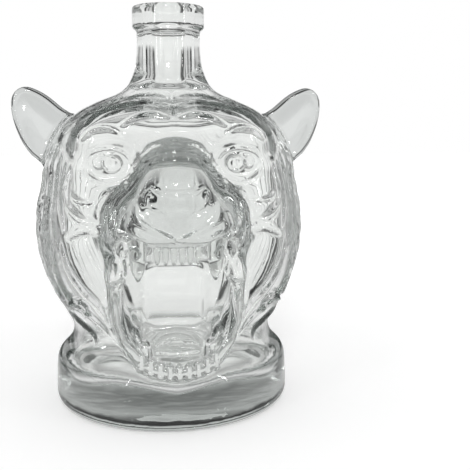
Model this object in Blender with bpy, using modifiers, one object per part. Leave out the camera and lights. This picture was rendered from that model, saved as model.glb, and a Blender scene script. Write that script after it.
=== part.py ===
# Liquor decanter: a roaring tiger's head in clear moulded glass on a heavy round foot, with a corked neck's bore.
# The face looks along -Y, the foot stands on z = 0 and the neck is on the Z axis. All lengths are in metres.
import math
import bpy
import bmesh
import numpy as np
from mathutils import Matrix, Vector
from mathutils.bvhtree import BVHTree

MM = 0.001

# Foot: a thick round disc of glass with a large lower corner and a sloping shoulder
FOOT_RADIUS = 65.7 * MM
FOOT_CORNER = 6.5 * MM
FOOT_SIDE_TOP = 24.0 * MM
PINCH_RADIUS = 55.4 * MM
PINCH_HEIGHT = 42.7 * MM

# Head between the pinch above the foot and the flare of the neck
HEAD_RADIUS = 72.8 * MM
HEAD_DEPTH = 64.0 * MM
HEAD_HEIGHT = 132.3 * MM
HEAD_TOP = PINCH_HEIGHT + HEAD_HEIGHT

# Neck, its flared foot and the collar round its rim, stacked up from the head's crown
FLARE_RADIUS = 23.6 * MM
FLARE_SINK = 2.0 * MM
FLARE_LENGTH = 13.0 * MM
NECK_FOOT_RADIUS = 18.1 * MM
NECK_LENGTH = 31.5 * MM
NECK_RADIUS = 17.2 * MM
COLLAR_RADIUS = 19.6 * MM
COLLAR_LENGTH = 12.5 * MM
COLLAR_EDGE = 1.6 * MM
FLARE_FOOT = HEAD_TOP - FLARE_SINK
NECK_FOOT = FLARE_FOOT + FLARE_LENGTH
RIM_HEIGHT = NECK_FOOT + NECK_LENGTH
COLLAR_FOOT = RIM_HEIGHT - COLLAR_LENGTH
BORE_RADIUS = 9.4 * MM
BORE_EDGE = 1.0 * MM

# Hollow for the liquor
WALL = 5.5 * MM
FLOOR_THICKNESS = 17.0 * MM
MOUTH_WALL = 6.0 * MM
HOLLOW_SHOULDER = 12.0 * MM
CROWN_SHOULDER = 27.5 * MM

# Open mouth, as shares of the head's radius, depth and height: front and back width, front and back place,
# front and back height, and the middles of both over the pinch
MOUTH_WIDTH_SHARES = (0.7692, 0.3984)
MOUTH_PLACE_SHARES = (0.9688, 0.5938)
MOUTH_HEIGHT_SHARES = (0.3930, 0.2041)
MOUTH_CENTRE_SHARES = (0.1799, 0.1912)
MOUTH_FRONT_WIDTH = HEAD_RADIUS * MOUTH_WIDTH_SHARES[0]
MOUTH_BACK_WIDTH = HEAD_RADIUS * MOUTH_WIDTH_SHARES[1]
MOUTH_FRONT_PLACE = HEAD_DEPTH * MOUTH_PLACE_SHARES[0]
MOUTH_BACK_PLACE = HEAD_DEPTH * MOUTH_PLACE_SHARES[1]
MOUTH_FRONT_HEIGHT = HEAD_HEIGHT * MOUTH_HEIGHT_SHARES[0]
MOUTH_BACK_HEIGHT = HEAD_HEIGHT * MOUTH_HEIGHT_SHARES[1]
MOUTH_FRONT_CENTRE = PINCH_HEIGHT + HEAD_HEIGHT * MOUTH_CENTRE_SHARES[0]
MOUTH_BACK_CENTRE = PINCH_HEIGHT + HEAD_HEIGHT * MOUTH_CENTRE_SHARES[1]
MOUTH_CORNER_SHARE = 0.1406
MOUTH_CORNER = HEAD_DEPTH * MOUTH_CORNER_SHARE

# Tongue and teeth, as shares of the mouth where they follow it
TONGUE_SHARES = (0.482, 0.692, 0.269)
TONGUE_WIDTH = MOUTH_FRONT_WIDTH * TONGUE_SHARES[0]
TONGUE_LENGTH = MOUTH_FRONT_HEIGHT * TONGUE_SHARES[1]
TONGUE_THICKNESS = MOUTH_FRONT_HEIGHT * TONGUE_SHARES[2]
TONGUE_RISE = 3.0 * MM
FANG_SHARES = (0.519, 0.0946, 0.6786)
FANG_LENGTH = MOUTH_FRONT_HEIGHT * FANG_SHARES[0]
FANG_RADIUS = MOUTH_FRONT_WIDTH * FANG_SHARES[1]
FANG_SPACING = MOUTH_FRONT_WIDTH * FANG_SHARES[2]
FANG_TIP_SHARE = 0.55
FANG_ROOT_SHARES = (0.5, 2.5)
LOWER_FANG_SHARES = (0.308, 0.0786, 0.589)
LOWER_FANG_LENGTH = MOUTH_FRONT_HEIGHT * LOWER_FANG_SHARES[0]
LOWER_FANG_RADIUS = MOUTH_FRONT_WIDTH * LOWER_FANG_SHARES[1]
LOWER_FANG_SPACING = MOUTH_FRONT_WIDTH * LOWER_FANG_SHARES[2]
LOWER_FANG_TIP_SHARE = 0.77
LOWER_FANG_ROOT_SHARES = (1.0, 1.4)
# Incisor rows, upper and lower: how many, width of the row as a share of the fangs' spacing, length as a share of
# the mouth's height, thickness and tip as shares of their pitch and radius, how far they stand before the lips as
# shares of the mouth's corner, how far their roots lie past the lips as shares of their length, and how much the
# row falls back and rises from its middle
INCISOR_COUNTS = (6, 9)
INCISOR_ROW_SHARES = (0.616, 1.042)
INCISOR_LENGTH_SHARE = 0.173
INCISOR_THICK_SHARE = 0.94
INCISOR_TIP_SHARE = 0.75
INCISOR_LENGTH = MOUTH_FRONT_HEIGHT * INCISOR_LENGTH_SHARE
INCISOR_FRONT_SHARES = (1.40, 1.44)
INCISOR_ROOT_SHARES = (0.50, 0.99)
INCISOR_BOW_SHARES = (1.14, 0.46)
INCISOR_RISE_SHARES = (0.0, 0.61)

# Eyes, set into the face under the brows: spacing, place and height as shares of head radius, depth and height
EYE_RADIUS = 13.0 * MM
EYE_SHARES = (0.8791, 0.6484, 0.7014)
EYE_SPACING = HEAD_RADIUS * EYE_SHARES[0]
EYE_PLACE = HEAD_DEPTH * EYE_SHARES[1]
EYE_HEIGHT = PINCH_HEIGHT + HEAD_HEIGHT * EYE_SHARES[2]
IRIS_RADIUS = 3.3 * MM
IRIS_RING = 0.9 * MM
IRIS_RELIEF = 0.5 * MM

# Ears: solid cupped leaves of glass set on the sides of the head, placed by its radius and height
EAR_LENGTH = 49.0 * MM
EAR_WIDTH = 27.0 * MM
EAR_THICKNESS = 9.0 * MM
EAR_CUP = 3.0 * MM
EAR_SHARES = (1.8407, 0.8420)
EAR_SPACING = HEAD_RADIUS * EAR_SHARES[0]
EAR_HEIGHT = PINCH_HEIGHT + HEAD_HEIGHT * EAR_SHARES[1]
EAR_PLACE = 1.0 * MM
EAR_LEAN = math.radians(36.9)
EAR_TURN = math.radians(8.0)
JOINT_GAP = 0.3 * MM

# Ridges of the fur: raised stripes on the brow and cheeks, long flutes down the ruff, their ends as shares
# of the head's height
STRIPE_RELIEF = 1.5 * MM
STRIPE_WIDTH = 5.0 * MM
STRIPE_REACH_SHARE = 0.65
STRIPE_TAPER_SHARE = 0.35
FLUTE_RELIEF = 1.6 * MM
FLUTE_WIDTH = 6.6 * MM
FLUTE_SHARES = (0.1156, 0.7960)
FLUTE_FOOT = PINCH_HEIGHT + HEAD_HEIGHT * FLUTE_SHARES[0]
FLUTE_TOP = PINCH_HEIGHT + HEAD_HEIGHT * FLUTE_SHARES[1]
FLUTE_AZIMUTHS = (88.0, 98.0, 108.0, 118.5, 129.0, 140.0, 151.0, 162.0, 173.0)
FLUTE_SWEEP = math.radians(12.0)

# Fineness of the model
GRAIN = 1.8 * MM
HOLLOW_GRAIN = 3.0 * MM
OVERRUN = 8.0 * MM
MERGE = 0.01 * MM
GLASS_ROUGHNESS = 0.02
GLASS_INDEX = 1.52
BODY_COLOUR = (0.93, 0.94, 0.93, 1.0)
EAR_COLOUR = (0.92, 0.93, 0.92, 1.0)
TURN_STEPS = 64
BORE_STEPS = 40
CORNER_STEPS = 3
BALL_SEGMENTS = 32
BALL_RINGS = 16
ROLL_STEPS = 7
TOOTH_SEGMENTS = 10
EAR_SEGMENTS = 20
EAR_RINGS = 12
HEAD_KEPT_SHARE = 0.070
HOLLOW_KEPT_SHARE = 0.06
SOFTEN = 0.5
SOFTEN_TURNS = 5
HOLLOW_SOFTEN_TURNS = 12

# Head outline: (height share from pinch to head top, radius share of the head's radius)
HEAD_OUTLINE_SHARES = (
    (-0.085, 0.650), (-0.035, 0.740), (0.000, 0.761), (0.035, 0.776), (0.101, 0.839), (0.146, 0.886),
    (0.191, 0.916), (0.237, 0.951), (0.282, 0.970), (0.365, 0.995), (0.410, 1.000), (0.494, 0.993),
    (0.577, 0.962), (0.660, 0.941), (0.735, 0.911), (0.819, 0.830), (0.861, 0.764), (0.902, 0.668),
    (0.944, 0.510), (0.972, 0.360), (0.992, 0.180),
)
# Heights, as shares from pinch to head top, where the head goes over from round to shallow and back
FLATTEN_SHARES = (0.0, 0.22, 0.72, 1.0)

# Foot shoulder: (radius share from pinch to foot, height share from side top to pinch)
FOOT_SHOULDER_SHARES = (
    (0.950, 0.000), (0.845, 0.190), (0.680, 0.330), (0.410, 0.455), (0.235, 0.590), (0.090, 0.760),
    (0.000, 1.000),
)
# Neck flare: (radius share from neck foot to flare, height share from flare foot to neck foot)
NECK_FLARE_SHARES = ((1.00, 0.00), (0.62, 0.22), (0.38, 0.45), (0.18, 0.70), (0.00, 1.00))

# Soft forms of the face: place and radii as shares of head radius, head depth and head height, then nod
# in degrees. The face looks to -Y. Forms off the middle are made on both sides.
FACE_SHARES = (
    ("bridge", (0.00, -0.788, 0.675), (0.245, 0.360, 0.115), -16.0),
    ("nose", (0.00, -1.130, 0.622), (0.138, 0.166, 0.058), -8.0),
    ("nose_root", (0.00, -0.980, 0.569), (0.270, 0.285, 0.131), 0.0),
    ("muzzle_side", (0.240, -0.805, 0.543), (0.235, 0.320, 0.147), 0.0),
    ("whisker_pad", (0.228, -0.945, 0.465), (0.258, 0.288, 0.126), 0.0),
    ("lip", (0.118, -1.088, 0.420), (0.156, 0.155, 0.059), 0.0),
    ("cheek", (0.540, -0.560, 0.380), (0.304, 0.376, 0.303), 0.0),
    ("brow", (0.393, -0.632, 0.788), (0.290, 0.154, 0.086), 18.0),
    ("jaw_top", (0.405, -0.740, 0.300), (0.062, 0.220, 0.150), 0.0),
    ("jaw_side", (0.395, -0.800, 0.150), (0.070, 0.230, 0.140), 0.0),
    ("jaw_turn", (0.290, -0.870, 0.020), (0.120, 0.240, 0.075), 0.0),
    ("chin_side", (0.145, -0.950, -0.040), (0.160, 0.225, 0.055), 0.0),
    ("chin", (0.000, -0.980, -0.045), (0.170, 0.225, 0.052), 0.0),
    ("mouth_floor", (0.000, -0.800, -0.030), (0.330, 0.260, 0.060), 0.0),
)
# Hollows pressed into the soft forms
PRESSED_SHARES = (
    ("eye_socket", (0.430, -0.880, 0.700), (0.200, 0.110, 0.085), 0.0),
    ("lip_arch", (0.288, -1.063, 0.388), (0.115, 0.266, 0.071), 12.0),
)
# Soft forms laid in after the mouth is pressed: the inner sides of the lower jaw
LATE_SHARES = (
    ("jaw_inside", (0.302, -0.906, 0.030), (0.086, 0.190, 0.072), 0.0),
)
# The rolled edge of the lower jaw from the mouth's corner to the chin: place and radius as shares of head radius,
# head depth, head height and head radius
JAW_ROLL_SHARES = (
    (0.409, -0.859, 0.380, 0.037), (0.420, -0.930, 0.297, 0.040), (0.415, -0.977, 0.206, 0.041),
    (0.396, -1.013, 0.119, 0.043), (0.343, -1.047, 0.044, 0.046), (0.256, -1.086, -0.017, 0.049),
    (0.137, -1.125, -0.049, 0.051), (0.000, -1.141, -0.060, 0.051),
)
MUZZLE_HOLLOW_SHARES = ((0.0, -0.770, 0.520), (0.360, 0.370, 0.125))

# Lines of the coat on both sides, raised, or sunk where the rise is negative: places as azimuth in degrees from the
# nose and height as a share of the head's height, then the width and rise as shares of the stripe's
COAT_SHARES = (
    ("crown", ((41, 0.936), (30, 0.955), (15, 0.956), (6, 0.952)), 0.90, 0.80),
    ("temple", ((51, 0.845), (48.5, 0.887), (47, 0.928), (46, 0.951)), 1.00, 1.00),
    ("high_stripe", ((43, 0.841), (40, 0.887), (30, 0.912), (18, 0.924), (5, 0.920)), 1.00, 1.10),
    ("middle_stripe", ((26, 0.838), (20, 0.870), (12, 0.882), (4, 0.872)), 1.00, 1.10),
    ("brow_stripe", ((43, 0.788), (38, 0.825), (31, 0.828), (25, 0.808)), 1.00, 1.00),
    ("wrinkle", ((22, 0.690), (14, 0.735), (8, 0.769), (-6, 0.776)), 0.80, 0.80),
    ("nostril", ((10, 0.549), (6, 0.533), (4, 0.505)), 0.90, -1.20),
    ("lip_parting", ((0, 0.494), (0, 0.380)), 0.80, -1.00),
    ("cheek_hook", ((46, 0.588), (42, 0.565), (37, 0.560), (34, 0.569)), 0.90, 1.00),
    ("cheek_feather", ((47, 0.553), (39, 0.501), (32, 0.486)), 1.28, 1.20),
    ("cheek_feather_low", ((44, 0.430), (37, 0.462), (31.5, 0.456)), 1.28, 1.10),
    ("eye_trail", ((51, 0.690), (50.5, 0.615), (46, 0.546)), 0.90, 0.90),
    ("ruff_front", ((48, 0.403), (45, 0.312), (40, 0.229), (36, 0.161), (34, 0.070)), 1.00, 1.10),
    ("ruff_second", ((53, 0.433), (53, 0.297), (48, 0.187), (41, 0.127), (37, 0.025)), 1.10, 1.15),
    ("ruff_curl", ((56, 0.108), (52, 0.146), (46, 0.180), (41.5, 0.172), (42, 0.135)), 0.90, 1.10),
    ("ruff_curl_low", ((62, 0.119), (54, 0.093), (50, 0.044), (49, -0.013)), 1.00, 1.10),
    ("ruff_side", ((71, 0.358), (69, 0.237), (60, 0.172), (51, 0.187)), 1.00, 1.00),
    ("strand_1", ((55, 0.705), (55, 0.637), (50, 0.539), (46.5, 0.456)), 0.95, 0.95),
    ("strand_2", ((61, 0.735), (61, 0.645), (56, 0.524), (50.5, 0.410), (49, 0.358)), 1.00, 1.05),
    ("strand_3", ((68, 0.751), (68, 0.645), (66, 0.524), (61, 0.410), (55, 0.312), (52, 0.252)), 1.00, 1.05),
    ("strand_4", ((78, 0.751), (79, 0.637), (76, 0.516), (72, 0.395), (66, 0.282)), 1.05, 1.05),
    ("lid_low", ((42, 0.671), (36, 0.635), (30, 0.624), (25, 0.637), (21, 0.667)), 0.75, 0.90),
    ("lid_high", ((42, 0.701), (39, 0.739), (31, 0.757), (25, 0.739), (22, 0.701)), 0.75, 0.80),
)


def share_point(shares):
    """A point of the head from shares of its radius, depth and height."""
    return Vector((shares[0] * HEAD_RADIUS, shares[1] * HEAD_DEPTH, PINCH_HEIGHT + shares[2] * HEAD_HEIGHT))


def share_radii(shares):
    """Radii of a form from shares of the head's radius, depth and height."""
    return Vector((shares[0] * HEAD_RADIUS, shares[1] * HEAD_DEPTH, shares[2] * HEAD_HEIGHT))


def smooth_through(points, per_span):
    """Points of a smooth curve through the given points."""
    out = []
    last = len(points) - 1
    for index in range(last):
        before = np.array(points[max(index - 1, 0)])
        start = np.array(points[index])
        end = np.array(points[index + 1])
        after = np.array(points[min(index + 2, last)])
        for step in range(per_span):
            t = step / per_span
            out.append(
                0.5 * (2 * start + (end - before) * t + (2 * before - 5 * start + 4 * end - after) * t * t
                       + (3 * start - before - 3 * end + after) * t ** 3)
            )
    out.append(np.array(points[last]))
    return out


def ease(value, low, high):
    """A smooth step from 0 at low to 1 at high."""
    t = min(max((value - low) / (high - low), 0.0), 1.0)
    return t * t * (3 - 2 * t)


def depth_scale(z):
    """How much the round head is flattened front to back at a height."""
    share = (z - PINCH_HEIGHT) / HEAD_HEIGHT
    start, full, still, end = FLATTEN_SHARES
    flat = ease(share, start, full) * (1 - ease(share, still, end))
    return 1 - (1 - HEAD_DEPTH / HEAD_RADIUS) * flat


def fresh_scene():
    """Remove what the file holds and make the two collections."""
    for thing in list(bpy.data.objects):
        bpy.data.objects.remove(thing)
    made = []
    for name in ("liquor_decanter", "liquor_decanter_shapes"):
        collection = bpy.data.collections.new(name)
        bpy.context.scene.collection.children.link(collection)
        made.append(collection)
    return made


def add_object(name, mesh, collection):
    """An object for a mesh, in a collection."""
    thing = bpy.data.objects.new(name, mesh)
    collection.objects.link(thing)
    return thing


def as_shape(thing):
    """Mark an object as a shape that only cuts or joins."""
    thing.hide_render = True
    thing.display_type = "WIRE"


def baked(thing):
    """The mesh of an object as its modifiers leave it."""
    bpy.context.view_layer.update()
    seen = thing.evaluated_get(bpy.context.evaluated_depsgraph_get())
    return bpy.data.meshes.new_from_object(seen)


def turned(name, outline, steps, collection):
    """A solid turned about Z from an outline of (radius, height) points, top to bottom."""
    mesh = bpy.data.meshes.new(name)
    points = [(radius, 0.0, height) for radius, height in outline]
    edges = [(index, index + 1) for index in range(len(points) - 1)]
    mesh.from_pydata(points, edges, [])
    thing = add_object(name, mesh, collection)
    screw = thing.modifiers.new("turn", "SCREW")
    screw.axis = "Z"
    screw.steps = steps
    screw.render_steps = steps
    screw.use_merge_vertices = True
    screw.merge_threshold = MERGE
    screw.use_smooth_shade = True
    as_shape(thing)
    return thing


def corner(radius, height, size, start, end):
    """Points of a round corner of an outline about (radius, height), angles in degrees."""
    out = []
    for step in range(CORNER_STEPS + 1):
        angle = math.radians(start + (end - start) * step / CORNER_STEPS)
        out.append((radius + size * math.cos(angle), height + size * math.sin(angle)))
    return out


def foot_outline():
    """The foot from the middle of the pinch, over the shoulder and the side, to the flat underside."""
    points = [(0.0, PINCH_HEIGHT + OVERRUN), (PINCH_RADIUS - OVERRUN, PINCH_HEIGHT + OVERRUN / 2)]
    spread = FOOT_RADIUS - PINCH_RADIUS
    rise = PINCH_HEIGHT - FOOT_SIDE_TOP
    shoulder = []
    for across, up in reversed(FOOT_SHOULDER_SHARES):
        shoulder.append((PINCH_RADIUS + across * spread, FOOT_SIDE_TOP + up * rise))
    points += shoulder
    points += corner(FOOT_RADIUS - FOOT_CORNER, FOOT_CORNER, FOOT_CORNER, 0, -90)
    points.append((0.0, 0.0))
    return points


def neck_outline():
    """The collar, the neck and its flare, closed on the axis inside the head."""
    points = [(0.0, RIM_HEIGHT)]
    points += corner(COLLAR_RADIUS - COLLAR_EDGE, RIM_HEIGHT - COLLAR_EDGE, COLLAR_EDGE, 90, 0)
    points += corner(COLLAR_RADIUS - COLLAR_EDGE, COLLAR_FOOT + COLLAR_EDGE, COLLAR_EDGE, 0, -90)
    points.append((NECK_RADIUS, COLLAR_FOOT))
    flare = []
    for across, up in reversed(NECK_FLARE_SHARES):
        radius = NECK_FOOT_RADIUS + across * (FLARE_RADIUS - NECK_FOOT_RADIUS)
        flare.append((radius, FLARE_FOOT + up * (NECK_FOOT - FLARE_FOOT)))
    points += [tuple(point) for point in smooth_through(flare, 2)]
    points.append((FLARE_RADIUS, FLARE_FOOT - OVERRUN / 2))
    points.append((0.0, FLARE_FOOT - OVERRUN))
    return points


def head_outline():
    """The head from the crown to below the pinch, closed on the axis."""
    points = []
    for up, across in reversed(HEAD_OUTLINE_SHARES):
        points.append((across * HEAD_RADIUS, PINCH_HEIGHT + up * HEAD_HEIGHT))
    points = [tuple(point) for point in smooth_through(points, 3)]
    return [(0.0, HEAD_TOP)] + points + [(0.0, points[-1][1])]


def bore_outline():
    """The bore from above the rim down into the hollow, with an eased mouth."""
    points = [(0.0, RIM_HEIGHT + OVERRUN), (BORE_RADIUS + BORE_EDGE + BORE_EDGE, RIM_HEIGHT + OVERRUN)]
    points.append((BORE_RADIUS + BORE_EDGE + BORE_EDGE, RIM_HEIGHT + BORE_EDGE))
    points.append((BORE_RADIUS + BORE_EDGE, RIM_HEIGHT))
    for radius, height in reversed(corner(BORE_RADIUS + BORE_EDGE, RIM_HEIGHT - BORE_EDGE, BORE_EDGE, 180, 90)):
        if height < RIM_HEIGHT - MERGE:
            points.append((radius, height))
    points.append((BORE_RADIUS, HEAD_TOP - OVERRUN))
    points.append((0.0, HEAD_TOP - OVERRUN))
    return points


def hollow_outline():
    """The hollow inside head and foot, one wall within the outside."""
    top = FLARE_FOOT - WALL + HOLLOW_SHOULDER
    points = [(0.0, top), (BORE_RADIUS, top), (BORE_RADIUS + WALL / 4, FLARE_FOOT - WALL / 2)]
    head = []
    for up, across in reversed(HEAD_OUTLINE_SHARES):
        radius = across * HEAD_RADIUS - WALL
        z = PINCH_HEIGHT + up * HEAD_HEIGHT
        if z > FLARE_FOOT - WALL or z < PINCH_HEIGHT:
            continue
        slope = WALL * ease(z, HEAD_TOP - CROWN_SHOULDER, HEAD_TOP)
        head.append((max(radius, BORE_RADIUS + WALL), z - slope))
    points += [tuple(point) for point in smooth_through(head, 2)]
    spread = FOOT_RADIUS - PINCH_RADIUS
    rise = PINCH_HEIGHT - FOOT_SIDE_TOP
    for across, up in reversed(FOOT_SHOULDER_SHARES[:-1]):
        points.append((PINCH_RADIUS - WALL + across * spread, FOOT_SIDE_TOP + up * rise - WALL / 2))
    inner = FOOT_RADIUS - WALL
    points.append((inner - WALL / 4, FLOOR_THICKNESS + WALL / 4))
    points.append((inner - WALL, FLOOR_THICKNESS))
    points.append((0.0, FLOOR_THICKNESS))
    return points


def place_balls(mesh, table, grow=0.0):
    """Add the soft forms of a table to a mesh, grown by a wall, on both sides where they lie off the middle."""
    for form in table:
        centre = share_point(form[1])
        radii = share_radii(form[2]) + Vector((grow, grow, grow))
        nod = Matrix.Rotation(math.radians(form[3]), 4, "X")
        for side in (1, -1):
            if side < 0 and form[1][0] == 0.0:
                continue
            place = Matrix.Translation((centre.x * side, centre.y, centre.z))
            bmesh.ops.create_uvsphere(
                mesh, u_segments=BALL_SEGMENTS, v_segments=BALL_RINGS, radius=1,
                matrix=place @ nod @ Matrix.Diagonal(radii.to_4d()),
            )


def mouth_loft(mesh, grow):
    """A rounded funnel for the open mouth: wide at the lips, narrow at the throat, grown by a wall."""
    front = -MOUTH_FRONT_PLACE - MOUTH_FRONT_PLACE
    rings = []
    slope_width = (MOUTH_FRONT_WIDTH - MOUTH_BACK_WIDTH) / (MOUTH_FRONT_PLACE - MOUTH_BACK_PLACE)
    sections = (
        (front, MOUTH_FRONT_WIDTH, MOUTH_FRONT_HEIGHT, MOUTH_FRONT_CENTRE),
        (-MOUTH_FRONT_PLACE, MOUTH_FRONT_WIDTH, MOUTH_FRONT_HEIGHT, MOUTH_FRONT_CENTRE),
        (-MOUTH_BACK_PLACE - MOUTH_CORNER / 2, MOUTH_BACK_WIDTH + slope_width * MOUTH_CORNER / 2,
         MOUTH_BACK_HEIGHT + MOUTH_CORNER / 3, MOUTH_BACK_CENTRE),
        (-MOUTH_BACK_PLACE, MOUTH_BACK_WIDTH, MOUTH_BACK_HEIGHT, MOUTH_BACK_CENTRE),
    )
    for place, width, height, centre in sections:
        ring = []
        half_x = width / 2 + grow
        half_z = height / 2 + grow
        rounding = min(MOUTH_CORNER + grow, half_x, half_z)
        if place == -MOUTH_BACK_PLACE:
            place = place + grow
        for quarter, (sx, sz) in enumerate(((1, 1), (-1, 1), (-1, -1), (1, -1))):
            for step in range(CORNER_STEPS + 1):
                angle = math.radians(90 * quarter + 90 * step / CORNER_STEPS)
                x = sx * (half_x - rounding) + rounding * math.cos(angle)
                z = sz * (half_z - rounding) + rounding * math.sin(angle)
                ring.append(mesh.verts.new((x, place, centre + z)))
        rings.append(ring)
    for one, other in zip(rings, rings[1:]):
        count = len(one)
        for index in range(count):
            after = (index + 1) % count
            mesh.faces.new((one[index], one[after], other[after], other[index]))
    mesh.faces.new(list(reversed(rings[0])))
    mesh.faces.new(rings[-1])
    bmesh.ops.recalc_face_normals(mesh, faces=mesh.faces)


def mesh_from(name, builder, *values):
    """A mesh filled by a builder function."""
    work = bmesh.new()
    builder(work, *values)
    mesh = bpy.data.meshes.new(name)
    work.to_mesh(mesh)
    work.free()
    return mesh


def head_forms(work, core):
    """The turned head, made shallower front to back, with the soft forms of the face round it."""
    work.from_mesh(core)
    for vert in work.verts:
        vert.co.y *= depth_scale(vert.co.z)
    place_balls(work, FACE_SHARES)


def hollow_forms(work, core):
    """The turned hollow, made shallower front to back, with the room inside the muzzle."""
    work.from_mesh(core)
    for vert in work.verts:
        vert.co.y *= depth_scale(vert.co.z)
    place_balls(work, (("muzzle", MUZZLE_HOLLOW_SHARES[0], MUZZLE_HOLLOW_SHARES[1], 0.0),))


def pressed_forms(work, grow):
    """The eye sockets, grown by a wall."""
    place_balls(work, PRESSED_SHARES, grow)


def late_forms(work, head):
    """The pressed head with what is laid into it afterwards: jaw sides, the jaw's rolled edge and the eyeballs."""
    work.from_mesh(head)
    place_balls(work, LATE_SHARES)
    for across, deep, up, thick in smooth_through(JAW_ROLL_SHARES, ROLL_STEPS):
        place = share_point((across, deep, up))
        for side in (1, -1):
            bmesh.ops.create_uvsphere(
                work, u_segments=BALL_SEGMENTS // 2, v_segments=BALL_RINGS // 2, radius=thick * HEAD_RADIUS,
                matrix=Matrix.Translation((place.x * side, place.y, place.z)),
            )
    for side in (1, -1):
        bmesh.ops.create_uvsphere(
            work, u_segments=BALL_SEGMENTS, v_segments=BALL_RINGS, radius=EYE_RADIUS,
            matrix=Matrix.Translation((side * EYE_SPACING / 2, -EYE_PLACE, EYE_HEIGHT)),
        )


def tongue(work):
    """The tongue, a flat rounded form that slopes down to the lower teeth."""
    front = Vector((0.0, -MOUTH_FRONT_PLACE, MOUTH_FRONT_CENTRE - MOUTH_FRONT_HEIGHT / 2))
    back = Vector((0.0, -MOUTH_BACK_PLACE, MOUTH_BACK_CENTRE - MOUTH_BACK_HEIGHT / 2))
    middle = (front + back) / 2
    slope = math.atan2(back.z - front.z, back.y - front.y)
    turn = Matrix.Rotation(slope / 2, 4, "X")
    radii = Vector((TONGUE_WIDTH / 2, TONGUE_LENGTH / 2, TONGUE_THICKNESS / 2))
    middle.z += TONGUE_RISE - TONGUE_THICKNESS / 2
    bmesh.ops.create_uvsphere(
        work, u_segments=BALL_SEGMENTS // 2, v_segments=BALL_RINGS // 2, radius=1,
        matrix=Matrix.Translation(middle) @ turn @ Matrix.Diagonal(radii.to_4d()),
    )


def tooth(work, root, length, radius, tip, up, lean):
    """One pointed tooth from its root, rising or hanging, leaning forward by an angle."""
    turn = Matrix.Rotation(0.0 if up else math.pi, 4, "X") @ Matrix.Rotation(lean, 4, "X")
    middle = Matrix.Translation((0.0, 0.0, length / 2))
    bmesh.ops.create_cone(
        work, cap_ends=True, segments=TOOTH_SEGMENTS, radius1=radius, radius2=tip, depth=length,
        matrix=Matrix.Translation(root) @ turn @ middle,
    )


def fangs(work, lips):
    """The four fangs, set in the corners of both lips."""
    sizes = (
        (FANG_SPACING, FANG_LENGTH, FANG_RADIUS, FANG_TIP_SHARE, FANG_ROOT_SHARES),
        (LOWER_FANG_SPACING, LOWER_FANG_LENGTH, LOWER_FANG_RADIUS, LOWER_FANG_TIP_SHARE, LOWER_FANG_ROOT_SHARES),
    )
    for rising, (spacing, length, radius, tip, (before, past)) in enumerate(sizes):
        height = lips[rising] + radius * past * (-1 if rising else 1)
        for side in (1, -1):
            root = Vector((side * spacing / 2, -MOUTH_FRONT_PLACE - radius * before, height))
            tooth(work, root, length, radius, radius * tip, bool(rising), 0.0)


def incisors(work, lips):
    """The small front teeth of both jaws, in two bowed rows along the lips."""
    for rising, count in enumerate(INCISOR_COUNTS):
        pitch = FANG_SPACING * INCISOR_ROW_SHARES[rising] / count
        radius = pitch * INCISOR_THICK_SHARE / 2
        past = INCISOR_ROOT_SHARES[rising] * INCISOR_LENGTH * (-1 if rising else 1)
        before = MOUTH_FRONT_PLACE + MOUTH_CORNER * INCISOR_FRONT_SHARES[rising]
        for index in range(count):
            x = (index + 0.5 - count / 2) * pitch
            bow = x * x / FANG_SPACING
            root = Vector((x, bow * INCISOR_BOW_SHARES[rising] - before,
                           lips[rising] + past + bow * INCISOR_RISE_SHARES[rising]))
            tooth(work, root, INCISOR_LENGTH, radius, radius * INCISOR_TIP_SHARE, bool(rising), 0.0)


def stripe_height(points, radii, where):
    """How high a tapering raised stripe stands at each of the given places."""
    best = np.full(len(where), 0.0)
    path = np.array(smooth_through(points, 8))
    length = len(path) - 1
    for index in range(length):
        start = path[index]
        span = path[index + 1] - start
        along = np.clip(((where - start) @ span) / max(span @ span, MERGE * MERGE), 0.0, 1.0)
        apart = np.linalg.norm(where - start - along[:, None] * span, axis=1)
        taper = np.sin(math.pi * (index + along + STRIPE_TAPER_SHARE) / (length + 2 * STRIPE_TAPER_SHARE))
        width = radii * (STRIPE_TAPER_SHARE + (1 - STRIPE_TAPER_SHARE) * taper)
        near = np.clip(1 - apart / width, 0.0, 1.0)
        best = np.maximum(best, near * near * (3 - 2 * near) * taper)
    return best


def skin_points(tree, points):
    """Where lines drawn by azimuth and height share lie on the skin, found by looking in at it from outside."""
    out = []
    for azimuth, up in points:
        way = Vector((math.sin(math.radians(azimuth)), -math.cos(math.radians(azimuth)), 0.0))
        height = Vector((0.0, 0.0, PINCH_HEIGHT + up * HEAD_HEIGHT))
        hit = tree.ray_cast(height + way * HEAD_RADIUS * 2, -way)[0]
        out.append(tuple(hit if hit is not None else height + way * HEAD_DEPTH))
    return out


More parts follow.
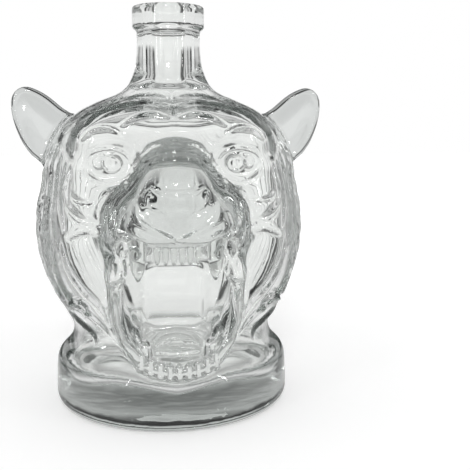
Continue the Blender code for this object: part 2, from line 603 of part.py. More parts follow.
def raise_fur(mesh):
    """Raise stripes and flutes on the soft head, and sink the ring of each iris."""
    work = bmesh.new()
    work.from_mesh(mesh)
    tree = BVHTree.FromBMesh(work)
    work.free()
    count = len(mesh.vertices)
    where = np.zeros(count * 3)
    mesh.vertices.foreach_get("co", where)
    where = where.reshape(count, 3)
    normal = np.zeros(count * 3)
    mesh.vertices.foreach_get("normal", normal)
    normal = normal.reshape(count, 3)
    lift = np.zeros(count)
    mirrored = where * np.array((-1.0, 1.0, 1.0))
    for _, points, width, rise in COAT_SHARES:
        path = skin_points(tree, [tuple(point) for point in smooth_through(points, 2)])
        for side in (where, mirrored):
            line = STRIPE_RELIEF * rise * stripe_height(path, STRIPE_WIDTH * STRIPE_REACH_SHARE * width, side)
            lift = np.maximum(lift, line) if rise > 0 else lift + line
    azimuth = np.arctan2(np.abs(where[:, 0]), -where[:, 1])
    rise = np.clip((where[:, 2] - FLUTE_FOOT) / (FLUTE_TOP - FLUTE_FOOT), 0.0, 1.0)
    fade = np.sin(math.pi * rise) ** 0.5
    reach = np.hypot(where[:, 0], where[:, 1])
    for flute in FLUTE_AZIMUTHS:
        line = math.radians(flute) - FLUTE_SWEEP * (1 - rise) ** 2
        apart = np.abs(azimuth - line) * reach
        near = np.clip(1 - apart / (FLUTE_WIDTH / 2), 0.0, 1.0)
        lift = np.maximum(lift, FLUTE_RELIEF * near * near * (3 - 2 * near) * fade)
    for side in (1, -1):
        centre = np.array((side * EYE_SPACING / 2, -EYE_PLACE - EYE_RADIUS, EYE_HEIGHT))
        ring = np.abs(np.linalg.norm(where - centre, axis=1) - IRIS_RADIUS)
        lift -= IRIS_RELIEF * np.clip(1 - ring / IRIS_RING, 0.0, 1.0)
    where = where + normal * lift[:, None]
    mesh.vertices.foreach_set("co", where.ravel())
    mesh.update()


def remesh(thing, grain):
    """Fuse overlapping forms into one even skin."""
    modifier = thing.modifiers.new("fuse", "REMESH")
    modifier.mode = "VOXEL"
    modifier.voxel_size = grain
    modifier.use_smooth_shade = True


def soften(thing, turns):
    """Soften a skin as fire-polished glass is."""
    modifier = thing.modifiers.new("soften", "SMOOTH")
    modifier.factor = SOFTEN
    modifier.iterations = turns


def thin(thing, share):
    """Keep a share of the faces, where the shape needs them."""
    modifier = thing.modifiers.new("thin", "DECIMATE")
    modifier.decimate_type = "COLLAPSE"
    modifier.ratio = share


def combine(thing, other, kind):
    """Join another shape to a solid, or cut it out."""
    modifier = thing.modifiers.new(other.name, "BOOLEAN")
    modifier.operation = kind
    modifier.object = other
    modifier.solver = "EXACT"


def glass(name, colour):
    """Clear glass."""
    material = bpy.data.materials.new(name)
    material.use_nodes = True
    shader = material.node_tree.nodes["Principled BSDF"]
    shader.inputs["Base Color"].default_value = colour
    shader.inputs["Roughness"].default_value = GLASS_ROUGHNESS
    shader.inputs["Metallic"].default_value = 0.0
    shader.inputs["Transmission Weight"].default_value = 1.0
    shader.inputs["IOR"].default_value = GLASS_INDEX
    return material


def ear_leaf(work, side):
    """A cupped leaf: a flattened ball with its rim brought forward, leant outward and turned."""
    bmesh.ops.create_uvsphere(work, u_segments=EAR_SEGMENTS, v_segments=EAR_RINGS, radius=1)
    for vert in work.verts:
        out = vert.co.x ** 2 + vert.co.z ** 2
        vert.co.x *= EAR_WIDTH / 2
        vert.co.y = vert.co.y * EAR_THICKNESS / 2 - out * EAR_CUP
        vert.co.z *= EAR_LENGTH / 2
    place = Matrix.Translation((side * EAR_SPACING / 2, EAR_PLACE, EAR_HEIGHT))
    turn = Matrix.Rotation(side * EAR_TURN, 4, "Z") @ Matrix.Rotation(side * EAR_LEAN, 4, "Y")
    bmesh.ops.transform(work, matrix=place @ turn, verts=work.verts)


def build():
    parts, shapes = fresh_scene()

    # Soft head: turned core and face forms fused, eye sockets and mouth pressed in, eyes set, softened
    core = baked(turned("head_core", head_outline(), TURN_STEPS, shapes))
    soft = add_object("head_forms", mesh_from("head_forms", head_forms, core), shapes)
    as_shape(soft)
    remesh(soft, GRAIN)
    pressed = add_object("eye_sockets", mesh_from("eye_sockets", pressed_forms, 0.0), shapes)
    mouth = add_object("mouth_funnel", mesh_from("mouth_funnel", mouth_loft, 0.0), shapes)
    for shape in (mouth, pressed):
        as_shape(shape)
        combine(soft, shape, "DIFFERENCE")
        remesh(soft, GRAIN)
    full = add_object("full_forms", mesh_from("full_forms", late_forms, baked(soft)), shapes)
    as_shape(full)
    remesh(full, GRAIN)
    soften(full, SOFTEN_TURNS)
    skin = baked(full)
    raise_fur(skin)
    head = add_object("head_skin", skin, shapes)
    as_shape(head)
    thin(head, HEAD_KEPT_SHARE)

    # Hollow: turned inside, muzzle room, kept one wall away from the mouth
    inside = baked(turned("hollow_core", hollow_outline(), TURN_STEPS, shapes))
    hollow = add_object("hollow", mesh_from("hollow", hollow_forms, inside), shapes)
    as_shape(hollow)
    remesh(hollow, HOLLOW_GRAIN)
    lining = add_object("mouth_lining", mesh_from("mouth_lining", mouth_loft, MOUTH_WALL), shapes)
    eye_lining = add_object("eye_lining", mesh_from("eye_lining", pressed_forms, WALL), shapes)
    for shape in (lining, eye_lining):
        as_shape(shape)
        combine(hollow, shape, "DIFFERENCE")
    remesh(hollow, HOLLOW_GRAIN)
    soften(hollow, HOLLOW_SOFTEN_TURNS)
    thin(hollow, HOLLOW_KEPT_SHARE)

    # Glass body: the head with its foot, neck, tongue and teeth, hollowed and bored
    foot = turned("foot", foot_outline(), TURN_STEPS, shapes)
    neck = turned("neck", neck_outline(), BORE_STEPS, shapes)
    bore = turned("bore", bore_outline(), BORE_STEPS, shapes)
    tongue_shape = add_object("tongue", mesh_from("tongue", tongue), shapes)
    lips = (MOUTH_FRONT_CENTRE + MOUTH_FRONT_HEIGHT / 2, MOUTH_FRONT_CENTRE - MOUTH_FRONT_HEIGHT / 2)
    fang_shape = add_object("fangs", mesh_from("fangs", fangs, lips), shapes)
    incisor_shape = add_object("incisors", mesh_from("incisors", incisors, lips), shapes)
    for shape in (tongue_shape, fang_shape, incisor_shape):
        as_shape(shape)
    body = add_object("glass_body", baked(head), parts)
    for shape in (foot, neck, tongue_shape, fang_shape, incisor_shape):
        combine(body, shape, "UNION")
    combine(body, hollow, "DIFFERENCE")
    combine(body, bore, "DIFFERENCE")
    body.data.materials.append(glass("glass_body_clear", BODY_COLOUR))

    # Ears: leaves cut to the head's outside with a hair's gap
    seat = add_object("ear_seat", baked(head), shapes)
    grow = seat.modifiers.new("gap", "DISPLACE")
    grow.strength = JOINT_GAP
    grow.mid_level = 0.0
    as_shape(seat)
    for name, side in (("left_ear", -1), ("right_ear", 1)):
        ear = add_object(name, mesh_from(name, ear_leaf, side), parts)
        combine(ear, seat, "DIFFERENCE")
        ear.data.materials.append(glass(name + "_clear", EAR_COLOUR))


build()
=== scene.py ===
"""Liquor decanter: a roaring tiger's head blown and moulded in clear glass, on a heavy round foot, with an open neck.

The glass is worked the way a mould maker works: turned forms for foot, head and neck, clay forms for the face laid
on and smoothed together, a mouth pressed in, then fur lines, lids and feathers drawn into the skin. Work lengths are
millimetres in the frame of the CAD: foot on z = 0, neck on the Z axis, face towards -Y.
"""
import math
import bpy
import bmesh
import numpy as np
from mathutils import Matrix, Vector


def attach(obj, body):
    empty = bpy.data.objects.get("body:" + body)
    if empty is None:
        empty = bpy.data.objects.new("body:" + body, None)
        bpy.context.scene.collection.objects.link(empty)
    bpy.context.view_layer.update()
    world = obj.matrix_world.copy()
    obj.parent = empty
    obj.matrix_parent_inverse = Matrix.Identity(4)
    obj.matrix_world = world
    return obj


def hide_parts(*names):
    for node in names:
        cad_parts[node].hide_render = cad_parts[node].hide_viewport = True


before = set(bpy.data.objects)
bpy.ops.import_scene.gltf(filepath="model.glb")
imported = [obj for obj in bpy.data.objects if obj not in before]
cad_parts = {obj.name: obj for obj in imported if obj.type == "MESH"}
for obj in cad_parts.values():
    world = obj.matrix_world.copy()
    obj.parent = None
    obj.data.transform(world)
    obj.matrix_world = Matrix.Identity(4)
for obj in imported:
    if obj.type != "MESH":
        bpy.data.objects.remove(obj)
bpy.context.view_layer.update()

MM = 0.001

# ---------------- sizes of the glass

RIM_HEIGHT = 217.5
COLLAR_RADIUS = 19.6
COLLAR_FOOT = 205.0
BORE_RADIUS = 9.4
FOOT_RADIUS = 65.7
FOOT_CORNER = 6.5
WALL = 5.2
FLOOR_THICKNESS = 17.0
JOINT_GAP = 0.3

# Outline of the moulded body, from the rim down to the foot: radius and height
BODY_OUTLINE = (
    (17.25, 203.6), (17.2, 198.0), (17.5, 192.0), (18.1, 186.5), (19.3, 182.4), (21.0, 178.2), (23.8, 174.0),
    (28.6, 170.8), (35.0, 168.2), (42.0, 165.2), (48.6, 161.8), (55.6, 156.4), (60.4, 151.0), (63.8, 145.5),
    (66.3, 139.5), (68.4, 132.5), (69.2, 124.0), (70.4, 118.0), (71.6, 112.0), (72.4, 106.0), (72.8, 97.0),
    (72.4, 90.5), (71.8, 85.0), (70.6, 79.6), (69.0, 73.8), (66.9, 68.0), (64.4, 62.0), (61.2, 56.0),
    (58.2, 50.6), (56.0, 46.2), (55.3, 42.4), (56.0, 38.6), (57.6, 35.2), (60.0, 32.2), (62.6, 29.6),
    (64.4, 26.8), (65.1, 23.6), (65.5, 17.0), (65.7, 9.0),
)
# Heights at which the round head goes over to its shallower depth and back, and its depth over its width
FLATTEN_FROM, FLATTEN_FULL, FLATTEN_UNTIL, FLATTEN_END = 42.7, 72.0, 138.0, 175.0
DEPTH_OVER_WIDTH = 0.879

# Clay forms of the face: centre, radii, nod in degrees and how far each melts into the rest
FACE_FORMS = {
    "bridge": ((0.0, -50.4, 132.0), (17.4, 23.0, 15.0), -16.0, 9.0),
    "nose": ((0.0, -69.8, 125.0), (9.6, 10.2, 7.6), -8.0, 5.0),
    "nose_root": ((0.0, -62.7, 118.0), (19.0, 18.0, 17.0), 0.0, 9.0),
    "muzzle_side": ((17.5, -51.5, 114.5), (16.5, 20.0, 19.0), 0.0, 9.0),
    "whisker_pad": ((16.6, -60.5, 104.2), (18.2, 18.2, 16.4), 0.0, 7.0),
    "lip": ((8.6, -69.6, 98.2), (11.0, 9.6, 7.6), 0.0, 4.5),
    "cheek": ((39.3, -35.8, 93.0), (21.8, 23.7, 39.7), 0.0, 11.0),
    "brow": ((28.6, -40.2, 147.0), (21.0, 9.6, 11.0), 18.0, 14.0),
}
JAW_FORMS = {
    "jaw_top": ((29.5, -47.4, 82.4), (4.5, 14.1, 19.8), 0.0, 4.0),
    "jaw_side": ((27.6, -51.2, 62.0), (5.6, 14.7, 17.5), 0.0, 4.0),
    "jaw_turn": ((19.4, -55.7, 45.3), (8.4, 15.4, 8.8), 0.0, 4.0),
    "chin_side": ((9.6, -60.8, 37.8), (10.8, 13.4, 6.6), 0.0, 4.0),
    "chin": ((0.0, -62.7, 36.9), (11.4, 13.4, 6.4), 0.0, 4.0),
    "mouth_floor": ((0.0, -50.2, 38.7), (20.0, 16.6, 7.9), 0.0, 5.0),
}
# The rolled edge of the lower jaw, from the mouth's corner to the chin: places and thickness
JAW_ROLL = ((29.8, -55.0, 93.0, 2.6), (30.6, -59.5, 82.0, 2.8), (30.2, -62.5, 70.0, 2.9), (28.8, -64.8, 58.5, 3.0),
            (25.0, -67.0, 48.5, 3.2), (18.6, -69.5, 40.5, 3.4), (10.0, -72.0, 36.2, 3.5), (0.0, -73.0, 34.8, 3.5))
EYE_SOCKET = ((31.3, -56.8, 135.3), (13.6, 6.6, 10.4))
# Where the upper lip is drawn up over each fang
LIP_ARCH = ((21.0, -68.0, 94.0), (8.4, 17.0, 9.4), 12.0)
EYEBALL = ((32.0, -44.0, 135.8), (11.2, 9.2, 10.2))

# Pressed mouth: place, half width, half height and middle height at the lips and at the back, and how far the
# funnel is followed past them as a share of its depth
MOUTH_FRONT = (-62.0, 27.6, 26.0, 66.5)
MOUTH_BACK = (-38.0, 15.0, 17.4, 64.2)
MOUTH_PAST = (-0.6, 1.2)
MOUTH_CORNER, MOUTH_WALL, MOUTH_SLOPE, MOUTH_BACK_MELT = 6.5, 6.0, 0.87, 2.0
# From which height down to which it narrows, and by how much of its width
MOUTH_NARROWS = (66.0, 38.0, 0.46)
TONGUE = ((0.0, -54.0, 40.5), (13.0, 17.0, 6.8), 10.0)

# How far each pressed or added form of the face melts into the skin, and the skin into the inside at an edge
SOCKET_MELT, EYE_MELT, MOUTH_MELT, ARCH_MELT, ROLL_MELT, TONGUE_MELT = 4.0, 1.5, 2.5, 3.0, 2.5, 3.0
EDGE_MELT = 0.8

# Inside, floor: how wide its edge is rounded, how high the glass is pushed up in its middle, and its slow waves
FLOOR_ROUNDING, FLOOR_RISE, FLOOR_REACH = 18.0, 7.0, 46.0
FLOOR_WAVE, FLOOR_WAVES, FLOOR_WAVE_TURN, FLOOR_WAVE_FROM = 1.8, 5.0, 0.8, 14.0
# Inside, head: how soft the room's form is, how much thicker the face and crown are, and where the room ends
ROOM_SOFTNESS, FACE_FILL = 1.6, 0.24
CROWN_WALL, CROWN_FROM, CROWN_TO = 2.0, 150.0, 168.0
ROOM_TOP, ROOM_TOP_MELT = 172.0, 5.0
POCKET_MELT, EYE_WALL, EYE_WALL_MELT = 6.0, 4.2, 12.0
# Inside, neck: how far the bore opens at the rim, where it starts, and how it melts into the room
BORE_EASING, BORE_EASED_FROM, BORE_EASED_TO = 1.4, 3.0, 0.8
BORE_FOOT, BORE_FOOT_MELT, BORE_MELT = 150.0, 4.0, 7.0
# The hollow ends above the upper jaw, where the muzzle is solid glass: centre, radii and melt of what fills it
MUZZLE_FILL = (((0.0, -62.0, 103.0), (35.0, 29.0, 27.0), 22.0), ((0.0, -58.0, 120.5), (15.0, 22.0, 15.0), 16.0))

# Lines drawn into the skin, alike on both sides: places as azimuth in degrees from the nose and height, then how
# wide the line is and how far it stands up, or is sunk where it is negative
FUR_LINES = {
    "crown": (((41, 166.5), (30, 169.0), (15, 169.2), (6, 168.6)), 4.2, 1.1),
    "temple": (((51, 154.5), (48.5, 160.0), (47, 165.5), (46, 168.5)), 5.0, 1.4),
    "high_stripe": (((43, 154.0), (40, 160.0), (30, 163.3), (18, 165.0), (5, 164.4)), 4.6, 1.5),
    "middle_stripe": (((26, 153.6), (20, 157.8), (12, 159.4), (4, 158.0)), 5.0, 1.5),
    "brow_stripe": (((43, 147.0), (38, 151.8), (31, 152.3), (25, 149.6)), 4.6, 1.4),
    "parting": (((0, 171.0), (0, 150.0)), 3.4, -0.8),
    "wrinkle_high": (((22, 134.0), (14, 140.0), (8, 144.4), (-6, 145.4)), 3.2, 1.3),
    "wrinkle_middle": (((15, 137.0), (8, 141.5), (-6, 142.4)), 2.8, 0.9),
    "wrinkle_low": (((11, 135.5), (6, 138.9), (-4, 139.6)), 2.6, 0.8),
    "crease": (((16, 130.0), (24, 124.0), (29, 120.0), (31, 114.0), (30, 107.0), (29, 98.0)), 3.6, -0.9),
    "nose_edge": (((9, 125.8), (5, 124.0), (-4, 123.4)), 3.0, -1.4),
    "nose_wing": (((11, 118.5), (10.5, 122.5), (7, 126.5)), 4.4, 0.9),
    "nostril": (((10, 115.3), (6, 113.2), (4, 109.5)), 4.2, -1.4),
    "lip_parting": (((0, 103.0), (0, 93.0)), 3.8, -1.2),
    "whisker_row_outer": (((28, 116.0), (27.5, 108.0), (27.5, 99.0), (25, 94.0)), 3.2, -1.3),
    "whisker_row": (((25, 118.0), (25, 110.0), (24, 102.0), (22, 96.0)), 3.2, -1.2),
    "whisker_row_inner": (((22, 115.5), (22, 108.5), (21, 102.5), (18, 99.0)), 3.2, -1.2),
    "whisker_row_front": (((17.5, 113.5), (18.5, 107.5), (16.5, 103.5), (13, 101.0)), 3.2, -1.2),
    "muzzle_curl": (((15, 119.0), (13.5, 111.0), (8.5, 106.0), (2, 101.0)), 4.4, 1.2),
    "muzzle_curl_out": (((25, 113.0), (22, 105.5), (16, 101.0), (7, 97.0)), 4.4, 1.1),
    "cheek_hook": (((46, 120.5), (42, 117.5), (37, 116.8), (34, 118.0)), 4.0, 1.4),
    "cheek_feather": (((47, 115.8), (39, 109.0), (32, 107.0)), 6.4, 1.7),
    "cheek_feather_low": (((44, 99.6), (37, 103.8), (31.5, 103.0)), 6.4, 1.6),
    "eye_trail": (((51, 134.0), (50.5, 124.0), (46, 115.0)), 4.2, 1.3),
    "ruff_front": (((48, 96.0), (45, 84.0), (40, 73.0), (36, 64.0), (34, 52.0)), 5.0, 1.5),
    "ruff_second": (((53, 100.0), (53, 82.0), (48, 67.5), (41, 59.5), (37, 46.0)), 5.2, 1.6),
    "ruff_curl": (((56, 57.0), (52, 62.0), (46, 66.5), (41.5, 65.5), (42, 60.5), (46, 57.5)), 4.2, 1.6),
    "ruff_curl_low": (((62, 58.5), (54, 55.0), (50, 48.5), (49, 41.0)), 5.0, 1.6),
    "ruff_side": (((71, 90.0), (69, 74.0), (60, 65.5), (51, 67.5)), 4.6, 1.4),
    "strand_1": (((55, 136.0), (55, 127.0), (50, 114.0), (46.5, 103.0)), 4.4, 1.3),
    "strand_2": (((61, 140.0), (61, 128.0), (56, 112.0), (50.5, 97.0), (49, 90.0)), 4.8, 1.5),
    "strand_3": (((68, 142.0), (68, 128.0), (66, 112.0), (61, 97.0), (55, 84.0), (52, 76.0)), 4.8, 1.5),
    "strand_4": (((78, 142.0), (79, 127.0), (76, 111.0), (72, 95.0), (66, 80.0)), 5.0, 1.5),
    "lid_low": (((42, 131.5), (36, 126.7), (30, 125.3), (25, 127.0), (21, 131.0)), 3.0, 1.2),
    "lid_high": (((42, 135.5), (39, 140.5), (31, 142.8), (25, 140.5), (22, 135.5)), 3.0, 1.0),
    "tear_line": (((22, 134.0), (20, 129.0), (19, 124.0)), 3.0, -0.9),
    "tongue_high": (((-5, 46.0), (3, 46.0), (8, 45.2), (13, 42.6)), 3.0, -1.3),
    "tongue_low": (((-5, 42.4), (4, 42.4), (11, 41.4), (16, 39.8)), 3.0, -1.2),
    "jaw_loop": (((24, 92.0), (27, 88.0), (27.3, 79.0), (25.4, 76.8), (24, 79.5), (23.6, 89.0), (24.4, 92.0)),
                 2.8, 1.5),
}
# How much bolder the lines stand out than they were drawn in the clay
RELIEF = 1.3
# Long strands of the ruff further back: azimuth of each, where it ends above and below, and how it sweeps forward
STRANDS = (88.0, 98.0, 108.0, 118.5, 129.0, 140.0, 151.0, 162.0, 173.0)
STRAND_HIGH, STRAND_LOW, STRAND_SWEEP = 148.0, 58.0, 12.0
STRAND_WIDTH, STRAND_RISE, STRAND_POINTS = 7.6, 1.6, 19
# Rings: middle as azimuth and height, radius, line width and rise
RINGS = {
    "iris": ((30.3, 135.4), 3.5, 1.9, 0.9),
    "eye_corner": ((35.6, 136.0), 2.3, 1.7, 0.7),
}

# Teeth: rows of rounded pegs. How many, spacing, root and tip radius, length, place of the row's middle at the
# roots, how far the row falls back and rises per square millimetre from its middle, how far tips lean in or out,
# and whether the row stands on the lower jaw
TEETH = {
    "upper_fangs": (2, 38.0, 5.3, 3.4, 27.0, -64.5, 105.5, 0.0, 0.0, 2.0, False),
    "upper_incisors": (6, 3.9, 1.85, 1.3, 9.0, -74.6, 97.0, 0.030, 0.0, 1.0, False),
    "lower_canines": (2, 33.0, 4.4, 3.4, 16.0, -66.5, 34.5, 0.0, 0.0, 1.5, True),
    "lower_incisors": (9, 4.4, 2.1, 1.8, 9.0, -75.0, 31.6, 0.012, 0.016, 0.0, True),
}

# Ears: outline in the ear's own plane as distance out and height, thickness at rim and middle, and the cup's depth
EAR_OUTLINE = ((50.0, 150.0), (53.0, 159.0), (58.7, 163.6), (64.8, 168.8), (70.6, 172.4), (76.6, 174.4), (81.6, 173.0),
               (84.7, 168.6), (85.2, 162.6), (83.9, 154.8), (80.9, 146.4), (77.6, 140.6), (73.4, 135.8), (66.0, 131.5),
               (57.0, 136.0))
EAR_RIM, EAR_MIDDLE, EAR_CUP = 6.0, 4.2, 3.0
EAR_CUP_FROM, EAR_CUP_TO = 1.5, 12.0
EAR_PLACE = -0.5
EAR_FILLET = 4.0
# The skin's lines end this near an ear, in fillets
EAR_PLAIN = 2.5

# Tables of the two outlines: step, and from where to where across and up
BODY_TABLE = (0.5, (0.0, 112.0), (-14.0, 236.0))
EAR_TABLE = (0.25, (40.0, 96.0), (120.0, 186.0))
# Places on the skin are looked for from this far out, in steps of this length
SKIN_FROM, SKIN_STEP = 96.0, 0.25

# Fineness: grain and box of the two places where glass is formed
BODY_GRAIN, BODY_LOW, BODY_HIGH = 2.2, (-89.25, -90.0, -6.0), (89.25, 70.0, 224.0)
EAR_GRAIN, EAR_LOW, EAR_HIGH = 1.0, (45.0, -14.0, 125.0), (89.0, 14.0, 181.0)
# The body's skin is split once on the face, on the neck and near the ears, and once more round the eyes
FACE_BEFORE, FACE_LOW, FACE_HIGH = -24.0, 29.0, 171.0
NECK_FROM, EAR_NEAR = 176.0, 7.0
EYES_BEFORE, EYE_OUT, EYE_UP, EYE_NEAR = -44.0, 32.0, 135.5, 11.0
# How far inwards a face's middle or a point may lie and still belong to the outside
FACE_INWARDS, POINT_INWARDS = 1.5, 0.4

# Glass, camera, floor and lamps: the view is fitted to the ellipses of foot, neck and collar; metres and radians
GLASS_INDEX = 1.52
LENS, SENSOR = 57.6, 36.0
AZIMUTH, PITCH, YAW = math.radians(-2.5), 0.151, 0.086
DISTANCE, EYE_LEVEL = 0.4253, 0.1563
FLOOR_SIZE, FLOOR_DROP = 3.0, 0.0003
LAMP_AIM = (0.0, 0.0, 0.1)


# ---------------- forming the glass

def soft_min(one, other, melt):
    """Two forms joined, with a smooth fillet as wide as melt."""
    share = np.clip(0.5 + 0.5 * (other - one) / melt, 0.0, 1.0)
    return other + (one - other) * share - melt * share * (1.0 - share)


def soft_max(one, other, melt):
    """What two forms have in common, with its edges eased."""
    return -soft_min(-one, -other, melt)


def ease(value, low, high):
    """A smooth step from 0 at low to 1 at high."""
    t = np.clip((value - low) / (high - low), 0.0, 1.0)
    return t * t * (3.0 - 2.0 * t)


def smooth_through(points, per_span):
    """Points of a smooth curve through the given points."""
    points = np.asarray(points, float)
    before = np.vstack((points[:1], points[:-2]))
    after = np.vstack((points[2:], points[-1:]))
    start, end = points[:-1], points[1:]
    out = []
    for t in np.arange(per_span) / per_span:
        out.append(0.5 * (2 * start + (end - before) * t + (2 * before - 5 * start + 4 * end - after) * t ** 2
                          + (3 * start - before - 3 * end + after) * t ** 3))
    curve = np.stack(out, 1).reshape(-1, points.shape[1])
    return np.vstack((curve, points[-1:]))


def arc(centre, size, start, end, steps=6):
    """Points of a round corner of an outline, angles in degrees."""
    angles = np.radians(np.linspace(start, end, steps + 1))
    return [(centre[0] + size * math.cos(a), centre[1] + size * math.sin(a)) for a in angles]


def outline_table(outline, table):
    """How far the places of a table's plane are from an outline, below 0 inside it."""
    step, across, up = table
    x, z = np.meshgrid(np.arange(*across, step), np.arange(*up, step), indexing="ij")
    nearest, inside = np.full(x.shape, 1e9), np.zeros(x.shape, bool)
    for (x0, z0), (x1, z1) in zip(outline[:-1], outline[1:]):
        dx, dz = x1 - x0, z1 - z0
        along = np.clip(((x - x0) * dx + (z - z0) * dz) / max(dx * dx + dz * dz, 1e-9), 0, 1)
        nearest = np.minimum(nearest, np.hypot(x - x0 - along * dx, z - z0 - along * dz))
        if z0 != z1:
            inside ^= ((z0 > z) != (z1 > z)) & (x < x0 + (z - z0) * dx / dz)
    return np.where(inside, -nearest, nearest)


def look_up(filled, table, across, up):
    """What a filled table says at places of its plane, also between its steps."""
    step, (left, _), (bottom, _) = table
    across = np.clip((across - left) / step, 0, filled.shape[0] - 1.001)
    up = np.clip((up - bottom) / step, 0, filled.shape[1] - 1.001)
    i, j = across.astype(int), up.astype(int)
    s, t = across - i, up - j
    low = filled[i, j] * (1 - s) + filled[i + 1, j] * s
    high = filled[i, j + 1] * (1 - s) + filled[i + 1, j + 1] * s
    return low * (1 - t) + high * t


def body_outline():
    """Collar, neck, head and foot in one outline, closed on the axis."""
    top = [(0.0, RIM_HEIGHT)] + arc((COLLAR_RADIUS - 1.7, RIM_HEIGHT - 1.7), 1.7, 90, 0)
    top += arc((COLLAR_RADIUS - 1.9, COLLAR_FOOT + 1.9), 1.9, 0, -80)
    side = [tuple(point) for point in smooth_through(BODY_OUTLINE, 4)]
    foot = arc((FOOT_RADIUS - FOOT_CORNER, FOOT_CORNER), FOOT_CORNER, 0, -90, 8)
    return top + side + foot + [(0.0, 0.0)]


body_flat = outline_table(body_outline(), BODY_TABLE).astype(np.float32)
ear_flat = outline_table(smooth_through(EAR_OUTLINE + EAR_OUTLINE[:1], 5), EAR_TABLE)


def depth_scale(height):
    """How much the round head is flattened front to back at a height."""
    flat = ease(height, FLATTEN_FROM, FLATTEN_FULL) * (1.0 - ease(height, FLATTEN_UNTIL, FLATTEN_END))
    return 1.0 - (1.0 - DEPTH_OVER_WIDTH) * flat


def turned_form(x, y, z):
    """The turned body made shallower front to back."""
    scale = depth_scale(z)
    deep = y / scale
    radius = np.hypot(x, deep)
    share = (deep / np.maximum(radius, 1e-6)) ** 2
    return look_up(body_flat, BODY_TABLE, radius, z) * (1.0 - (1.0 - scale) * share)


def ball(x, y, z, centre, radii, nod=0.0, grow=0.0):
    """An oval clay form; the whole face is the same on both sides, so x counts from the middle outwards."""
    px, py, pz = x - centre[0], y - centre[1], z - centre[2]
    if nod:
        c, s = math.cos(math.radians(nod)), math.sin(math.radians(nod))
        py, pz = c * py + s * pz, -s * py + c * pz
    rx, ry, rz = (radius + grow for radius in radii)
    near = np.sqrt((px / rx) ** 2 + (py / ry) ** 2 + (pz / rz) ** 2)
    slope = np.sqrt((px / rx ** 2) ** 2 + (py / ry ** 2) ** 2 + (pz / rz ** 2) ** 2)
    return near * (near - 1.0) / np.maximum(slope, 1e-6)


def mouth_pocket(x, y, z, grow=0.0):
    """The pressed mouth: a rounded funnel, wide at the lips, narrow at the back."""
    t = np.clip((y - MOUTH_FRONT[0]) / (MOUTH_BACK[0] - MOUTH_FRONT[0]), *MOUTH_PAST)
    half_width = MOUTH_FRONT[1] + (MOUTH_BACK[1] - MOUTH_FRONT[1]) * t + grow
    half_height = MOUTH_FRONT[2] + (MOUTH_BACK[2] - MOUTH_FRONT[2]) * t + grow
    middle = MOUTH_FRONT[3] + (MOUTH_BACK[3] - MOUTH_FRONT[3]) * t
    high, low, narrow = MOUTH_NARROWS
    half_width = half_width * (1.0 - narrow * (1.0 - t).clip(0, 1) * ease(-z, -high, -low))
    across = np.abs(x) - half_width + MOUTH_CORNER
    up = np.abs(z - middle) - half_height + MOUTH_CORNER
    section = (np.hypot(np.maximum(across, 0), np.maximum(up, 0)) + np.minimum(np.maximum(across, up), 0)
               - MOUTH_CORNER)
    return soft_max(section * MOUTH_SLOPE, y - MOUTH_BACK[0] - grow, MOUTH_BACK_MELT)


def rolled_edge(x, y, z, points):
    """A rounded bead that follows a path of places, each with its thickness."""
    nearest = np.full(x.shape, 1e3)
    for one, other in zip(points[:-1], points[1:]):
        span = np.subtract(other[:3], one[:3])
        along = ((x - one[0]) * span[0] + (y - one[1]) * span[1] + (z - one[2]) * span[2]) / (span @ span)
        along = np.clip(along, 0.0, 1.0)
        apart = np.sqrt((x - one[0] - along * span[0]) ** 2 + (y - one[1] - along * span[1]) ** 2
                        + (z - one[2] - along * span[2]) ** 2)
        nearest = np.minimum(nearest, apart - one[3] - (other[3] - one[3]) * along)
    return nearest


def clay_form(x, y, z, softer=1.0):
    """Turned body with the soft forms of the face, before mouth and eyes are pressed in; x counts outwards."""
    skin = turned_form(x, y, z)
    for centre, radii, nod, melt in FACE_FORMS.values():
        skin = soft_min(skin, ball(x, y, z, centre, radii, nod), melt * softer)
    return skin


def head_form(x, y, z):
    """The whole outside: clay forms, jaw, sockets, eyes, mouth and tongue."""
    x = np.abs(x)
    skin = clay_form(x, y, z)
    for centre, radii, nod, melt in JAW_FORMS.values():
        skin = soft_min(skin, ball(x, y, z, centre, radii, nod), melt)
    skin = soft_max(skin, -ball(x, y, z, *EYE_SOCKET), SOCKET_MELT)
    skin = soft_min(skin, ball(x, y, z, *EYEBALL), EYE_MELT)
    skin = soft_max(skin, -mouth_pocket(x, y, z), MOUTH_MELT)
    skin = soft_max(skin, -ball(x, y, z, *LIP_ARCH), ARCH_MELT)
    skin = soft_min(skin, rolled_edge(x, y, z, JAW_ROLL), ROLL_MELT)
    skin = soft_min(skin, ball(x, y, z, *TONGUE), TONGUE_MELT)
    return skin


